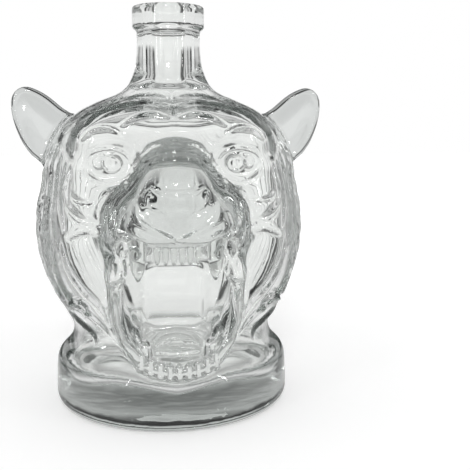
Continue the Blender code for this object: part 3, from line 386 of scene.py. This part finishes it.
def inside_form(x, y, z):
    """The room for the liquor, one wall inside the clay forms, with the bore of the neck."""
    x = np.abs(x)
    room = clay_form(x, y, z, ROOM_SOFTNESS)
    # the blown glass fills the deepest places of the mould less than its outside does
    room = room + FACE_FILL * np.clip(turned_form(x, y, z) - room, 0.0, 60.0)
    room = room + WALL + CROWN_WALL * ease(z, CROWN_FROM, CROWN_TO)
    out = np.hypot(x, y)
    floor = FLOOR_THICKNESS + FLOOR_RISE * (1.0 - ease(out, 0.0, FLOOR_REACH))
    waves = np.sin(FLOOR_WAVES * np.arctan2(y, x) + FLOOR_WAVE_TURN)
    floor = floor + FLOOR_WAVE * waves * ease(out, FLOOR_WAVE_FROM, FLOOR_REACH)
    room = soft_max(room, floor - z, FLOOR_ROUNDING)
    room = soft_max(room, z - ROOM_TOP, ROOM_TOP_MELT)
    room = soft_max(room, -mouth_pocket(x, y, z, MOUTH_WALL), POCKET_MELT)
    for centre, radii, melt in MUZZLE_FILL:
        room = soft_max(room, -ball(x, y, z, centre, radii), melt)
    room = soft_max(room, -ball(x, y, z, *EYE_SOCKET, grow=EYE_WALL), EYE_WALL_MELT)
    eased = BORE_RADIUS + BORE_EASING * ease(z, RIM_HEIGHT - BORE_EASED_FROM, RIM_HEIGHT + BORE_EASED_TO)
    bore = soft_max(np.hypot(x, y) - eased, BORE_FOOT - z, BORE_FOOT_MELT)
    return soft_min(room, bore, BORE_MELT)


def glass_form(x, y, z):
    """The glass itself: the outside less the inside, with an eased rim."""
    return np.maximum(soft_max(head_form(x, y, z), -inside_form(x, y, z), EDGE_MELT), -z)


CORNERS = [(i, j, k) for i in (0, 1) for j in (0, 1) for k in (0, 1)]


def pinched_patterns():
    """Which of the 256 ways for a cell's corners to lie in or out would leave a pinched skin."""
    pinched = np.zeros(256, bool)
    for pattern in range(256):
        state = {corner: bool(pattern >> bit & 1) for bit, corner in enumerate(CORNERS)}
        for side in (True, False):
            left = {corner for corner in CORNERS if state[corner] == side}
            reached = [left.pop()] if left else []
            while reached:
                here = reached.pop()
                near = {c for c in left if sum(abs(a - b) for a, b in zip(c, here)) == 1}
                left -= near
                reached += near
            pinched[pattern] |= bool(left)
        for axis in range(3):
            for level in (0, 1):
                face = [corner for corner in CORNERS if corner[axis] == level]
                a, b, c, d = (state[corner] for corner in face)
                pinched[pattern] |= a == d and b == c and a != b
    return pinched


PINCHED = pinched_patterns()


def skin_of(form, low, high, grain, block=4, spare=4.0, batch=4000, fillings=12):
    """Vertices and quads of a form's surface on an even grid of places.

    The form is first felt in the middles of blocks of cells, then cell by cell in blocks that its surface may cross.
    """
    counts = [block * int(math.ceil((b - a) / grain / block)) for a, b in zip(low, high)]
    axes = [a + grain * np.arange(n) for a, n in zip(low, counts)]
    middles = [axis.reshape(-1, block).mean(1) for axis in axes]
    cx, cy, cz = np.meshgrid(*middles, indexing="ij")
    coarse = form(cx.ravel(), cy.ravel(), cz.ravel()).reshape(cx.shape).astype(np.float32)
    field = np.repeat(np.repeat(np.repeat(coarse, block, 0), block, 1), block, 2)
    near = np.argwhere(np.abs(coarse) < grain * block * 0.87 + spare)
    offsets = np.stack(np.meshgrid(*[np.arange(block)] * 3, indexing="ij"), -1).reshape(-1, 3)
    for part in np.array_split(near, max(1, len(near) // batch)):
        cells = (part[:, None, :] * block + offsets[None]).reshape(-1, 3)
        places = [axes[k][cells[:, k]] for k in range(3)]
        field[tuple(cells.T)] = form(*places)
    cut = [slice(0, -1), slice(1, None)]
    for _ in range(fillings):
        inside = field < 0
        pattern = np.zeros([n - 1 for n in field.shape], np.uint8)
        for bit, (i, j, k) in enumerate(CORNERS):
            pattern |= inside[cut[i], cut[j], cut[k]].astype(np.uint8) << bit
        pinched = np.argwhere(PINCHED[pattern])
        if not len(pinched):
            break
        # thin places are filled with glass
        for corner in CORNERS:
            spot = tuple((pinched + corner).T)
            field[spot] = np.minimum(field[spot], -0.05 * grain)
    cells = np.argwhere((pattern > 0) & (pattern < 255))
    index = np.full(pattern.shape, -1, np.int32)
    index[tuple(cells.T)] = np.arange(len(cells))
    total, number = np.zeros((len(cells), 3)), np.zeros(len(cells))
    for one in CORNERS:
        for axis in range(3):
            if one[axis]:
                continue
            other = list(one)
            other[axis] = 1
            a = field[tuple((cells + one).T)]
            b = field[tuple((cells + other).T)]
            crossed = (a < 0) != (b < 0)
            share = np.where(crossed, a / np.where(crossed, a - b, 1.0), 0.0)
            place = np.array(one, float)[None] + np.zeros((len(cells), 3))
            place[:, axis] += share
            total += place * crossed[:, None]
            number += crossed
    verts = np.array(low) + grain * (cells + total / number[:, None])
    quads = []
    for axis in range(3):
        u, v = (axis + 1) % 3, (axis + 2) % 3
        here = [slice(None)] * 3
        there = [slice(None)] * 3
        here[axis], there[axis] = slice(0, -1), slice(1, None)
        for side in (u, v):
            here[side] = there[side] = slice(1, -1)
        a, b = inside[tuple(here)], inside[tuple(there)]
        for rising in (True, False):
            edges = np.argwhere(a & ~b if rising else ~a & b)
            edges[:, u] += 1
            edges[:, v] += 1
            ring = []
            for du, dv in ((-1, -1), (0, -1), (0, 0), (-1, 0)):
                cell = edges.copy()
                cell[:, u] += du
                cell[:, v] += dv
                ring.append(index[tuple(cell.T)])
            quads.append(np.stack(ring if rising else ring[::-1], 1))
    return verts, np.vstack(quads)


def settle(form, verts, turns=3, step=0.05, flattest=0.05, longest=1.2):
    """Move vertices onto the form's true surface; also gives the direction outwards there."""
    for _ in range(turns):
        here = form(*verts.T)
        slope = np.empty_like(verts)
        for axis in range(3):
            ahead = verts.copy()
            ahead[:, axis] += step
            slope[:, axis] = (form(*ahead.T) - here) / step
        size = np.maximum((slope ** 2).sum(1), flattest)
        move = slope * (here / size)[:, None]
        length = np.linalg.norm(move, axis=1)
        verts = verts - move * np.minimum(1.0, longest / np.maximum(length, 1e-9))[:, None]
    return verts, slope / np.sqrt(size)[:, None]


def mesh_of(name, verts, faces):
    """A mesh in metres from places in millimetres."""
    mesh = bpy.data.meshes.new(name)
    mesh.vertices.add(len(verts))
    mesh.vertices.foreach_set("co", (verts * MM).ravel())
    sides = faces.shape[1]
    mesh.loops.add(faces.size)
    mesh.loops.foreach_set("vertex_index", faces.ravel())
    mesh.polygons.add(len(faces))
    mesh.polygons.foreach_set("loop_start", np.arange(len(faces)) * sides)
    mesh.update(calc_edges=True)
    mesh.validate()
    smooth(mesh)
    return mesh


def smooth(mesh):
    """Shade all faces of a mesh as one smooth skin."""
    mesh.polygons.foreach_set("use_smooth", np.ones(len(mesh.polygons), bool))


def places_of(mesh):
    """Vertex places of a mesh in millimetres."""
    flat = np.empty(len(mesh.vertices) * 3)
    mesh.vertices.foreach_get("co", flat)
    return flat.reshape(-1, 3) / MM


def add_piece(name, mesh):
    """An object for a mesh, in the scene."""
    piece = bpy.data.objects.new(name, mesh)
    bpy.context.scene.collection.objects.link(piece)
    return piece


def finished(piece):
    """Work the modifiers of a piece into its mesh and take them off."""
    bpy.context.view_layer.update()
    seen = piece.evaluated_get(bpy.context.evaluated_depsgraph_get())
    mesh = bpy.data.meshes.new_from_object(seen)
    piece.modifiers.clear()
    old = piece.data
    piece.data = mesh
    bpy.data.meshes.remove(old)


def on_skin(lines):
    """Places on the outside for azimuths and heights: a point is sent in from the side until it meets the glass."""
    azimuth, height = np.radians(lines[:, 0]), lines[:, 1]
    reach = np.arange(SKIN_FROM, 0.0, -SKIN_STEP)
    x = np.sin(azimuth)[:, None] * reach
    y = -np.cos(azimuth)[:, None] * reach
    z = np.broadcast_to(height[:, None], x.shape)
    inside = head_form(x.ravel(), y.ravel(), z.ravel()).reshape(x.shape) < 0
    found = reach[inside.argmax(1)]
    return np.stack((np.sin(azimuth) * found, -np.cos(azimuth) * found, height), 1)


def line_rise(places, path, width, closed=False):
    """How strongly a drawn line shows at each place: 1 on the line, 0 from its edge on, thinning to its ends."""
    low, high = path.min(0) - width, path.max(0) + width
    near = np.flatnonzero(((places > low) & (places < high)).all(1))
    rise = np.zeros(len(places))
    if not len(near):
        return rise
    here = places[near]
    best = np.zeros(len(near))
    count = len(path) - 1
    for index in range(count):
        span = path[index + 1] - path[index]
        along = np.clip(((here - path[index]) @ span) / max(span @ span, 1e-9), 0.0, 1.0)
        apart = np.linalg.norm(here - path[index] - along[:, None] * span, axis=1)
        taper = 1.0 if closed else np.sin(math.pi * np.clip((index + along + 0.6) / (count + 1.2), 0, 1)) ** 0.6
        share = np.clip(1.0 - apart / (0.5 * width * (0.35 + 0.65 * taper)), 0.0, 1.0)
        best = np.maximum(best, share * share * (3.0 - 2.0 * share) * taper)
    rise[near] = best
    return rise


def draw_lines(places, outward):
    """Skin places with fur lines, strands, lids and irises drawn in, the same on both sides."""
    lift = np.zeros(len(places))
    folded = np.stack((np.abs(places[:, 0]), places[:, 1], places[:, 2]), 1)
    for points, width, rise in FUR_LINES.values():
        path = on_skin(smooth_through(points, 6))
        lift += RELIEF * rise * line_rise(folded, path, width)
    for azimuth in STRANDS:
        heights = np.linspace(STRAND_HIGH, STRAND_LOW, STRAND_POINTS)
        share = (STRAND_HIGH - heights) / (STRAND_HIGH - STRAND_LOW)
        path = on_skin(np.stack((azimuth - STRAND_SWEEP * share ** 2, heights), 1))
        lift += STRAND_RISE * line_rise(folded, path, STRAND_WIDTH)
    for (azimuth, height), radius, width, rise in RINGS.values():
        middle = on_skin(np.array(((azimuth, height),)))[0]
        turn = np.radians(np.arange(0, 361, 20))
        swing = math.degrees(radius / math.hypot(middle[0], middle[1]))
        path = on_skin(np.stack((azimuth + swing * np.cos(turn), height + radius * np.sin(turn)), 1))
        lift += rise * line_rise(folded, path, width, closed=True)
    # the skin stays plain where an ear sits on it
    lift *= ease(ear_leaf(*folded.T), EAR_FILLET, EAR_PLAIN * EAR_FILLET)
    return places + outward * lift[:, None]


def refine(mesh, chosen):
    """Split the chosen faces of a mesh into four."""
    work = bmesh.new()
    work.from_mesh(mesh)
    work.faces.ensure_lookup_table()
    edges = {edge for face in work.faces if chosen[face.index] for edge in face.edges}
    bmesh.ops.subdivide_edges(work, edges=list(edges), cuts=1, use_grid_fill=True)
    bmesh.ops.triangulate(work, faces=[face for face in work.faces if len(face.verts) > 4])
    work.to_mesh(mesh)
    work.free()


def face_middles(mesh):
    """Middles of a mesh's faces in millimetres."""
    flat = np.empty(len(mesh.polygons) * 3)
    mesh.polygons.foreach_get("center", flat)
    return flat.reshape(-1, 3) / MM


def put_places(mesh, places):
    """Move a mesh's vertices to places in millimetres."""
    mesh.vertices.foreach_set("co", (places * MM).ravel())
    mesh.update()


def ear_leaf(x, y, z):
    """The free form of an ear: a cupped leaf with a round rim."""
    edge = look_up(ear_flat, EAR_TABLE, x, z)
    inwards = ease(-edge, EAR_CUP_FROM, EAR_CUP_TO)
    half = 0.5 * (EAR_RIM + (EAR_MIDDLE - EAR_RIM) * inwards)
    deep = np.abs(y - EAR_PLACE - EAR_CUP * inwards) - half
    rounding = 0.5 * EAR_RIM
    return (np.hypot(np.maximum(deep + rounding, 0), np.maximum(edge + rounding, 0))
            + np.minimum(np.maximum(deep, edge) + rounding, 0) - rounding)


def ear_form(x, y, z):
    """An ear: its leaf melted onto the head and parted from it by the joint gap."""
    head = head_form(x, y, z)
    return np.maximum(soft_min(head, ear_leaf(x, y, z), EAR_FILLET), JOINT_GAP - head)


# ---------------- finishes

def colour(code):
    """A colour from its sRGB hex value, as the light it stands for."""
    parts = [int(code[i:i + 2], 16) / 255.0 for i in (0, 2, 4)]
    return tuple(c / 12.92 if c <= 0.04045 else ((c + 0.055) / 1.055) ** 2.4 for c in parts) + (1.0,)


def add(tree, kind, links=(), **settings):
    """A node with its settings, the stops of its ramp and the links into it: (input, from node, from output)."""
    node = tree.nodes.new(kind)
    inputs = settings.pop("inputs", {})
    stops = settings.pop("stops", ())
    for key, value in settings.items():
        setattr(node, key, value)
    for key, value in inputs.items():
        node.inputs[key].default_value = value
    if stops:
        elements = node.color_ramp.elements
        for element, (spot, code) in ((elements[0], stops[0]), (elements[1], stops[-1])):
            element.position, element.color = spot, colour(code)
        for spot, code in stops[1:-1]:
            elements.new(spot).color = colour(code)
    for key, source, output in links:
        tree.links.new(source.outputs[output], node.inputs[key])
    return node


def new_tree(owner):
    """The emptied node tree of a material or world."""
    owner.use_nodes = True
    owner.node_tree.nodes.clear()
    return owner.node_tree


def clear_glass(name, tint, wave_mm, wave_height, depth_tint, depth_loss):
    """Soda-lime glass, blown in a mould and fire-polished: clear, glossy, with slow waves left by the mould.

    The glass itself takes some light, so thick places and rims are greyer than thin walls.
    """
    material = bpy.data.materials.new(name)
    tree = new_tree(material)
    place = add(tree, "ShaderNodeTexCoord")
    wave = add(tree, "ShaderNodeTexNoise", [("Vector", place, "Object")],
               inputs={"Scale": 1.0 / (wave_mm * MM), "Detail": 1.0, "Roughness": 0.4})
    bump = add(tree, "ShaderNodeBump", [("Height", wave, "Fac")],
               inputs={"Strength": 1.0, "Distance": wave_height * MM})
    shader = add(tree, "ShaderNodeBsdfPrincipled", [("Normal", bump, "Normal")],
                 inputs={"Base Color": colour(tint), "Roughness": 0.0, "IOR": GLASS_INDEX,
                         "Transmission Weight": 1.0})
    within = add(tree, "ShaderNodeVolumeAbsorption", inputs={"Color": colour(depth_tint), "Density": depth_loss})
    add(tree, "ShaderNodeOutputMaterial", [("Surface", shader, "BSDF"), ("Volume", within, "Volume")])
    return material


# ---------------- making the pieces

def fine_face(x, y, z, outside):
    """Which faces of the body's skin are split first: those of face and neck and those near the ears."""
    face = (y < FACE_BEFORE) & (z > FACE_LOW) & (z < FACE_HIGH) & outside
    near_ears = (ear_leaf(np.abs(x), y, z) < EAR_NEAR) & outside
    return face | (z > NECK_FROM) | near_ears


def fine_eyes(x, y, z, outside):
    """Which faces are split once more: those round the eyes."""
    eyes = np.hypot(np.abs(x) - EYE_OUT, z - EYE_UP) < EYE_NEAR
    return (y < EYES_BEFORE) & eyes & outside


def blow_body(glass):
    """Foot, head and neck in one wall of glass, with the lines of face and coat drawn into the skin."""
    verts, quads = skin_of(glass_form, BODY_LOW, BODY_HIGH, BODY_GRAIN)
    mesh = mesh_of("glass_body_clear", verts, quads)
    for fine in (fine_face, fine_eyes):
        middle = face_middles(mesh)
        refine(mesh, fine(*middle.T, head_form(*middle.T) > -FACE_INWARDS))
    places, outward = settle(glass_form, places_of(mesh))
    outside = np.abs(head_form(*places.T)) < POINT_INWARDS
    places = np.where(outside[:, None], draw_lines(places, outward), places)
    places[:, 2] = np.maximum(places[:, 2], 0.0)
    put_places(mesh, places)
    mesh.materials.append(glass)
    return add_piece("glass_body_clear", mesh)


def teeth_tree():
    """A row of rounded pegs on a bow, with its sizes as named inputs."""
    tree = bpy.data.node_groups.new("row_of_teeth", "GeometryNodeTree")
    face = tree.interface
    face.new_socket("Count", in_out="INPUT", socket_type="NodeSocketInt")
    for name in ("Spacing", "Root Radius", "Tip Radius", "Length", "Bow", "Rise", "Lean"):
        face.new_socket(name, in_out="INPUT", socket_type="NodeSocketFloat")
    face.new_socket("Middle", in_out="INPUT", socket_type="NodeSocketVector")
    face.new_socket("Glass", in_out="INPUT", socket_type="NodeSocketMaterial")
    face.new_socket("Teeth", in_out="OUTPUT", socket_type="NodeSocketGeometry")
    size = add(tree, "NodeGroupInput")
    # one peg: a tube drawn to its profile, round at the tip
    tube = add(tree, "GeometryNodeMeshCylinder",
               inputs={"Vertices": 14, "Side Segments": 9, "Radius": 1.0, "Depth": 1.0})
    where = add(tree, "GeometryNodeInputPosition")
    parts = add(tree, "ShaderNodeSeparateXYZ", [("Vector", where, "Position")])
    along = add(tree, "ShaderNodeMath", [(0, parts, "Z")], operation="ADD", inputs={1: 0.5})
    taper = add(tree, "ShaderNodeMapRange", [("Value", along, "Value"), ("To Min", size, "Root Radius"),
                                             ("To Max", size, "Tip Radius")])
    steep = add(tree, "ShaderNodeMath", [(0, along, "Value")], operation="POWER", inputs={1: 5.0})
    left = add(tree, "ShaderNodeMath", [(1, steep, "Value")], operation="SUBTRACT", inputs={0: 1.0})
    least = add(tree, "ShaderNodeMath", [(0, left, "Value")], operation="MAXIMUM", inputs={1: 0.04})
    round_off = add(tree, "ShaderNodeMath", [(0, least, "Value")], operation="SQRT")
    wide = add(tree, "ShaderNodeMath", [(0, taper, "Result"), (1, round_off, "Value")], operation="MULTIPLY")
    px = add(tree, "ShaderNodeMath", [(0, parts, "X"), (1, wide, "Value")], operation="MULTIPLY")
    py = add(tree, "ShaderNodeMath", [(0, parts, "Y"), (1, wide, "Value")], operation="MULTIPLY")
    square = add(tree, "ShaderNodeMath", [(0, along, "Value"), (1, along, "Value")], operation="MULTIPLY")
    leant = add(tree, "ShaderNodeMath", [(0, square, "Value"), (1, size, "Lean"), (2, py, "Value")],
                operation="MULTIPLY_ADD")
    pz = add(tree, "ShaderNodeMath", [(0, along, "Value"), (1, size, "Length")], operation="MULTIPLY")
    drawn = add(tree, "ShaderNodeCombineXYZ", [("X", px, "Value"), ("Y", leant, "Value"), ("Z", pz, "Value")])
    peg = add(tree, "GeometryNodeSetPosition", [("Geometry", tube, "Mesh"), ("Position", drawn, "Vector")])
    # the row: places along a line, bowed back and up at its ends
    number = add(tree, "GeometryNodeInputIndex")
    last = add(tree, "ShaderNodeMath", [(0, size, "Count")], operation="SUBTRACT", inputs={1: 1.0})
    half = add(tree, "ShaderNodeMath", [(0, last, "Value")], operation="MULTIPLY", inputs={1: 0.5})
    off = add(tree, "ShaderNodeMath", [(0, number, "Index"), (1, half, "Value")], operation="SUBTRACT")
    rx = add(tree, "ShaderNodeMath", [(0, off, "Value"), (1, size, "Spacing")], operation="MULTIPLY")
    rx2 = add(tree, "ShaderNodeMath", [(0, rx, "Value"), (1, rx, "Value")], operation="MULTIPLY")
    ry = add(tree, "ShaderNodeMath", [(0, rx2, "Value"), (1, size, "Bow")], operation="MULTIPLY")
    rz = add(tree, "ShaderNodeMath", [(0, rx2, "Value"), (1, size, "Rise")], operation="MULTIPLY")
    bowed = add(tree, "ShaderNodeCombineXYZ", [("X", rx, "Value"), ("Y", ry, "Value"), ("Z", rz, "Value")])
    spot = add(tree, "ShaderNodeVectorMath", [(0, bowed, "Vector"), (1, size, "Middle")], operation="ADD")
    line = add(tree, "GeometryNodePoints", [("Count", size, "Count"), ("Position", spot, "Vector")])
    row = add(tree, "GeometryNodeInstanceOnPoints", [("Points", line, "Points"), ("Instance", peg, "Geometry")])
    real = add(tree, "GeometryNodeRealizeInstances", [("Geometry", row, "Instances")])
    glazed = add(tree, "GeometryNodeSetMaterial", [("Geometry", real, "Geometry"), ("Material", size, "Glass")])
    add(tree, "NodeGroupOutput", [("Teeth", glazed, "Geometry")])
    return tree


def set_teeth(body, glass):
    """The rows of teeth, each united with the body, so that all is one glass."""
    tree = teeth_tree()
    for name, (count, spacing, root, tip, length, back, height, bow, rise, lean, stands) in TEETH.items():
        row = add_piece(name, bpy.data.meshes.new(name))
        maker = row.modifiers.new("row", "NODES")
        maker.node_group = tree
        way = 1.0 if stands else -1.0
        values = {"Count": count, "Spacing": spacing, "Root Radius": root, "Tip Radius": tip,
                  "Length": length * way, "Bow": bow, "Rise": rise, "Lean": lean,
                  "Middle": (0.0, back, height), "Glass": glass}
        for item in tree.interface.items_tree:
            if item.in_out == "INPUT":
                maker[item.identifier] = values[item.name]
        finished(row)
        row.data.transform(Matrix.Scale(MM, 4))
        if not stands:
            row.data.flip_normals()
        joined = body.modifiers.new(name, "BOOLEAN")
        joined.operation = "UNION"
        joined.solver = "EXACT"
        joined.object = row
        finished(body)
        used = row.data
        bpy.data.objects.remove(row)
        bpy.data.meshes.remove(used)
    smooth(body.data)


def press_ears(glass):
    """Both ears, the right one the mirror image of the left."""
    verts, quads = skin_of(ear_form, EAR_LOW, EAR_HIGH, EAR_GRAIN)
    verts = settle(ear_form, verts)[0]
    mirrored = verts * np.array((-1.0, 1.0, 1.0))
    ears = []
    for name, places, faces in (("left_ear_clear", verts, quads), ("right_ear_clear", mirrored, quads[:, ::-1])):
        mesh = mesh_of(name, places, faces)
        mesh.materials.append(glass)
        ears.append(add_piece(name, mesh))
    return ears


# ---------------- camera, floor and light

# Cards round the object, from straight behind or before it, 0, to straight beside it, 1: dark with a lighter gap
SIDE_CARDS = ((0.0, "FFFFFF"), (0.24, "FFFFFF"), (0.30, "0C0C0C"), (0.40, "0C0C0C"), (0.48, "D0D0D0"),
              (0.58, "D8D8D8"), (0.68, "4C4C4C"), (0.78, "E0E0E0"), (1.0, "F4F4F4"))
# Soft boxes overhead and the dark gaps between them, from the horizon, 0, to straight above, 1
CEILING = ((0.0, "FFFFFF"), (0.18, "F8F8F8"), (0.22, "2C2C2C"), (0.28, "2C2C2C"), (0.33, "DCDCDC"),
           (0.365, "A0A0A0"), (0.41, "D8D8D8"), (0.48, "F8F8F8"), (0.74, "F4F4F4"), (0.80, "B4B4B4"),
           (0.88, "B4B4B4"), (0.97, "DCDCDC"))
# The floor as the glass shows it, by metres from the middle: a painted shadow under the foot with darker painted rings
# at the foot's edge, white further out
PAINTED_FOOT_SHADOW = ((0.0, "C8C8C8"), (0.020, "B4B4B4"), (0.032, "F4F4F4"), (0.046, "A0A0A0"), (0.056, "F4F4F4"),
         (0.064, "A0A0A0"), (0.070, "C4C4C4"), (0.090, "F0F0F0"), (0.25, "F8F8F8"), (0.9, "F8F8F8"))
# A dark card lies before the object, outside the picture, by metres before the middle
FRONT_CARD = ((0.085, "FFFFFF"), (0.12, "202020"), (0.28, "202020"), (0.42, "FFFFFF"))


def set_camera():
    """The camera at the place and turn from which the photograph was taken."""
    data = bpy.data.cameras.new("camera")
    data.lens = LENS
    data.sensor_width = SENSOR
    data.clip_start = 0.01
    camera = bpy.data.objects.new("camera", data)
    bpy.context.scene.collection.objects.link(camera)
    bpy.context.scene.camera = camera
    forward = Matrix.Rotation(-YAW, 3, "Z") @ Vector((-math.sin(AZIMUTH), math.cos(AZIMUTH), 0.0))
    forward = Vector((forward.x * math.cos(PITCH), forward.y * math.cos(PITCH), -math.sin(PITCH)))
    right = forward.cross(Vector((0.0, 0.0, 1.0))).normalized()
    up = right.cross(forward)
    turn = Matrix((right, up, -forward)).transposed().to_4x4()
    place = Vector((math.sin(AZIMUTH) * DISTANCE, -math.cos(AZIMUTH) * DISTANCE, EYE_LEVEL))
    camera.matrix_world = Matrix.Translation(place) @ turn


def beside(tree, parts):
    """How far round a place or direction lies from straight behind or before the object, 0, to beside it, 1."""
    side = add(tree, "ShaderNodeMath", [(0, parts, "X")], operation="ABSOLUTE")
    ahead = add(tree, "ShaderNodeMath", [(0, parts, "Y")], operation="ABSOLUTE")
    turned_by = add(tree, "ShaderNodeMath", [(0, side, "Value"), (1, ahead, "Value")], operation="ARCTAN2")
    return add(tree, "ShaderNodeMath", [(0, turned_by, "Value")], operation="DIVIDE", inputs={1: 0.5 * math.pi})


def white_paper_floor():
    """White matt paper: it takes the object's shadow; the glass shows it instead with a painted shadow under the foot
    and the studio's cards on it.
    """
    material = bpy.data.materials.new("white_paper_floor")
    tree = new_tree(material)
    ray = add(tree, "ShaderNodeLightPath")
    paper = add(tree, "ShaderNodeBsdfDiffuse", inputs={"Color": colour("F2F2F2")})
    place = add(tree, "ShaderNodeTexCoord")
    reach = add(tree, "ShaderNodeVectorMath", [(0, place, "Object")], operation="LENGTH")
    # painted light: the paper's glow grows from near the object outwards, evening out the lamps' fall-off so the floor
    # far away is as white as the world, while the shadow near the foot still shows
    level = add(tree, "ShaderNodeMapRange", [("Value", reach, "Value")],
                inputs={"From Min": 0.15, "From Max": 1.0, "To Min": 0.30, "To Max": 0.62})
    glow = add(tree, "ShaderNodeEmission", [("Strength", level, "Result")], inputs={"Color": colour("FFFFFF")})
    lit = add(tree, "ShaderNodeAddShader", [(0, paper, "BSDF"), (1, glow, "Emission")])
    # painted shadow under the foot, with darker painted rings at its edge, seen only through the glass
    near = add(tree, "ShaderNodeValToRGB", [("Fac", reach, "Value")], stops=PAINTED_FOOT_SHADOW)
    parts = add(tree, "ShaderNodeSeparateXYZ", [("Vector", place, "Object")])
    quarter = beside(tree, parts)
    far_side = add(tree, "ShaderNodeValToRGB", [("Fac", quarter, "Value")], stops=SIDE_CARDS)
    away = add(tree, "ShaderNodeMapRange", [("Value", reach, "Value")],
               inputs={"From Min": 0.10, "From Max": 0.22, "To Min": 0.0, "To Max": 1.0})
    painted_shadow_seen = add(tree, "ShaderNodeMix", [(0, away, "Result"), (6, near, "Color"), (7, far_side, "Color")],
                     data_type="RGBA", blend_type="MULTIPLY")
    before = add(tree, "ShaderNodeMath", [(0, parts, "Y")], operation="MULTIPLY", inputs={1: -1.0})
    front_card = add(tree, "ShaderNodeValToRGB", [("Fac", before, "Value")], stops=FRONT_CARD)
    painted_shadow_carded = add(tree, "ShaderNodeMix", [(6, painted_shadow_seen, 2), (7, front_card, "Color")], data_type="RGBA",
                       blend_type="MULTIPLY", inputs={0: 1.0})
    behind = add(tree, "ShaderNodeEmission", [("Color", painted_shadow_carded, 2)], inputs={"Strength": 1.0})
    bent = add(tree, "ShaderNodeMath", [(0, ray, "Is Glossy Ray"), (1, ray, "Is Transmission Ray")],
               operation="MAXIMUM")
    seen = add(tree, "ShaderNodeMixShader", [("Fac", bent, "Value"), (1, lit, "Shader"), (2, behind, "Emission")])
    add(tree, "ShaderNodeOutputMaterial", [("Surface", seen, "Shader")])
    return material


def lay_floor():
    """The floor under the object."""
    mesh = bpy.data.meshes.new("floor")
    work = bmesh.new()
    bmesh.ops.create_grid(work, x_segments=1, y_segments=1, size=FLOOR_SIZE)
    work.to_mesh(mesh)
    work.free()
    mesh.transform(Matrix.Translation((0.0, 0.0, -FLOOR_DROP)))
    mesh.materials.append(white_paper_floor())
    return add_piece("floor", mesh)


def light_room():
    """The studio round the object: white walls before and behind, low dark cards at both sides, soft boxes above."""
    world = bpy.data.worlds.new("studio")
    bpy.context.scene.world = world
    tree = new_tree(world)
    ray = add(tree, "ShaderNodeLightPath")
    way = add(tree, "ShaderNodeTexCoord")
    parts = add(tree, "ShaderNodeSeparateXYZ", [("Vector", way, "Generated")])
    quarter = beside(tree, parts)
    cards = add(tree, "ShaderNodeValToRGB", [("Fac", quarter, "Value")], stops=SIDE_CARDS)
    card_top = add(tree, "ShaderNodeMapRange", [("Value", parts, "Z")],
                   inputs={"From Min": 0.01, "From Max": 0.05, "To Min": 1.0, "To Max": 0.0})
    walls = add(tree, "ShaderNodeMix", [(0, card_top, "Result"), (7, cards, "Color")], data_type="RGBA",
                inputs={6: colour("FAFAFA")})
    above = add(tree, "ShaderNodeValToRGB", [("Fac", parts, "Z")], stops=CEILING)
    studio = add(tree, "ShaderNodeMix", [(6, walls, 2), (7, above, "Color")], data_type="RGBA",
                 blend_type="MULTIPLY", inputs={0: 1.0})
    room = add(tree, "ShaderNodeBackground", [("Color", studio, 2)], inputs={"Strength": 1.0})
    white = add(tree, "ShaderNodeBackground", inputs={"Color": colour("FFFFFF"), "Strength": 1.0})
    shown = add(tree, "ShaderNodeMixShader", [("Fac", ray, "Is Camera Ray"), (1, room, "Background"),
                                              (2, white, "Background")])
    add(tree, "ShaderNodeOutputWorld", [("Surface", shown, "Shader")])


def soft_box(name, place, width, height, power):
    """A soft lamp at a place, turned to the middle of the head."""
    lamp = bpy.data.lights.new(name, "AREA")
    lamp.shape = "SQUARE" if width == height else "RECTANGLE"
    lamp.size = width
    lamp.size_y = height
    lamp.energy = power
    stand = bpy.data.objects.new(name, lamp)
    bpy.context.scene.collection.objects.link(stand)
    way = Vector(LAMP_AIM) - Vector(place)
    stand.matrix_world = Matrix.Translation(place) @ way.to_track_quat("-Z", "Y").to_matrix().to_4x4()


# ---------------- the decanter

body_glass = clear_glass("soda_lime_glass_mould_blown", "FDFEFD", 11.0, 0.09, "949E99", 7.4)
# the ears' glass is a darker copy of the body's glass, with greyer tints and about seven times the absorption: the
# glass takes some light, and the extra loss is painted shade that greys the ears
shaded_ear_glass = clear_glass("soda_lime_glass_ears_painted_shade", "EEF0EF", 9.0, 0.04, "8A908D", 52.0)
glass_body = blow_body(body_glass)
set_teeth(glass_body, body_glass)
left_ear, right_ear = press_ears(shaded_ear_glass)

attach(glass_body, "root")
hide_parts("glass_body")
for piece, node in ((left_ear, "left_ear"), (right_ear, "right_ear")):
    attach(piece, "root")
    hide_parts(node)

# ---------------- the studio

set_camera()
# light is thrown back and forth many times inside thick glass before it leaves
paths = bpy.context.scene.cycles
paths.max_bounces = 40
paths.transmission_bounces = 40
paths.glossy_bounces = 24

floor = lay_floor()
light_room()
# the strips' reflections draw bright lines on lids, lips and strands
soft_box("key_lamp", (-0.15, -1.5, 1.15), 0.32, 0.32, 8.0)
soft_box("left_strip", (-0.95, -0.95, 0.45), 0.04, 0.9, 1.6)
soft_box("right_strip", (0.95, -0.85, 0.55), 0.04, 0.8, 1.4)

bpy.context.scene.view_settings.view_transform = "Standard"
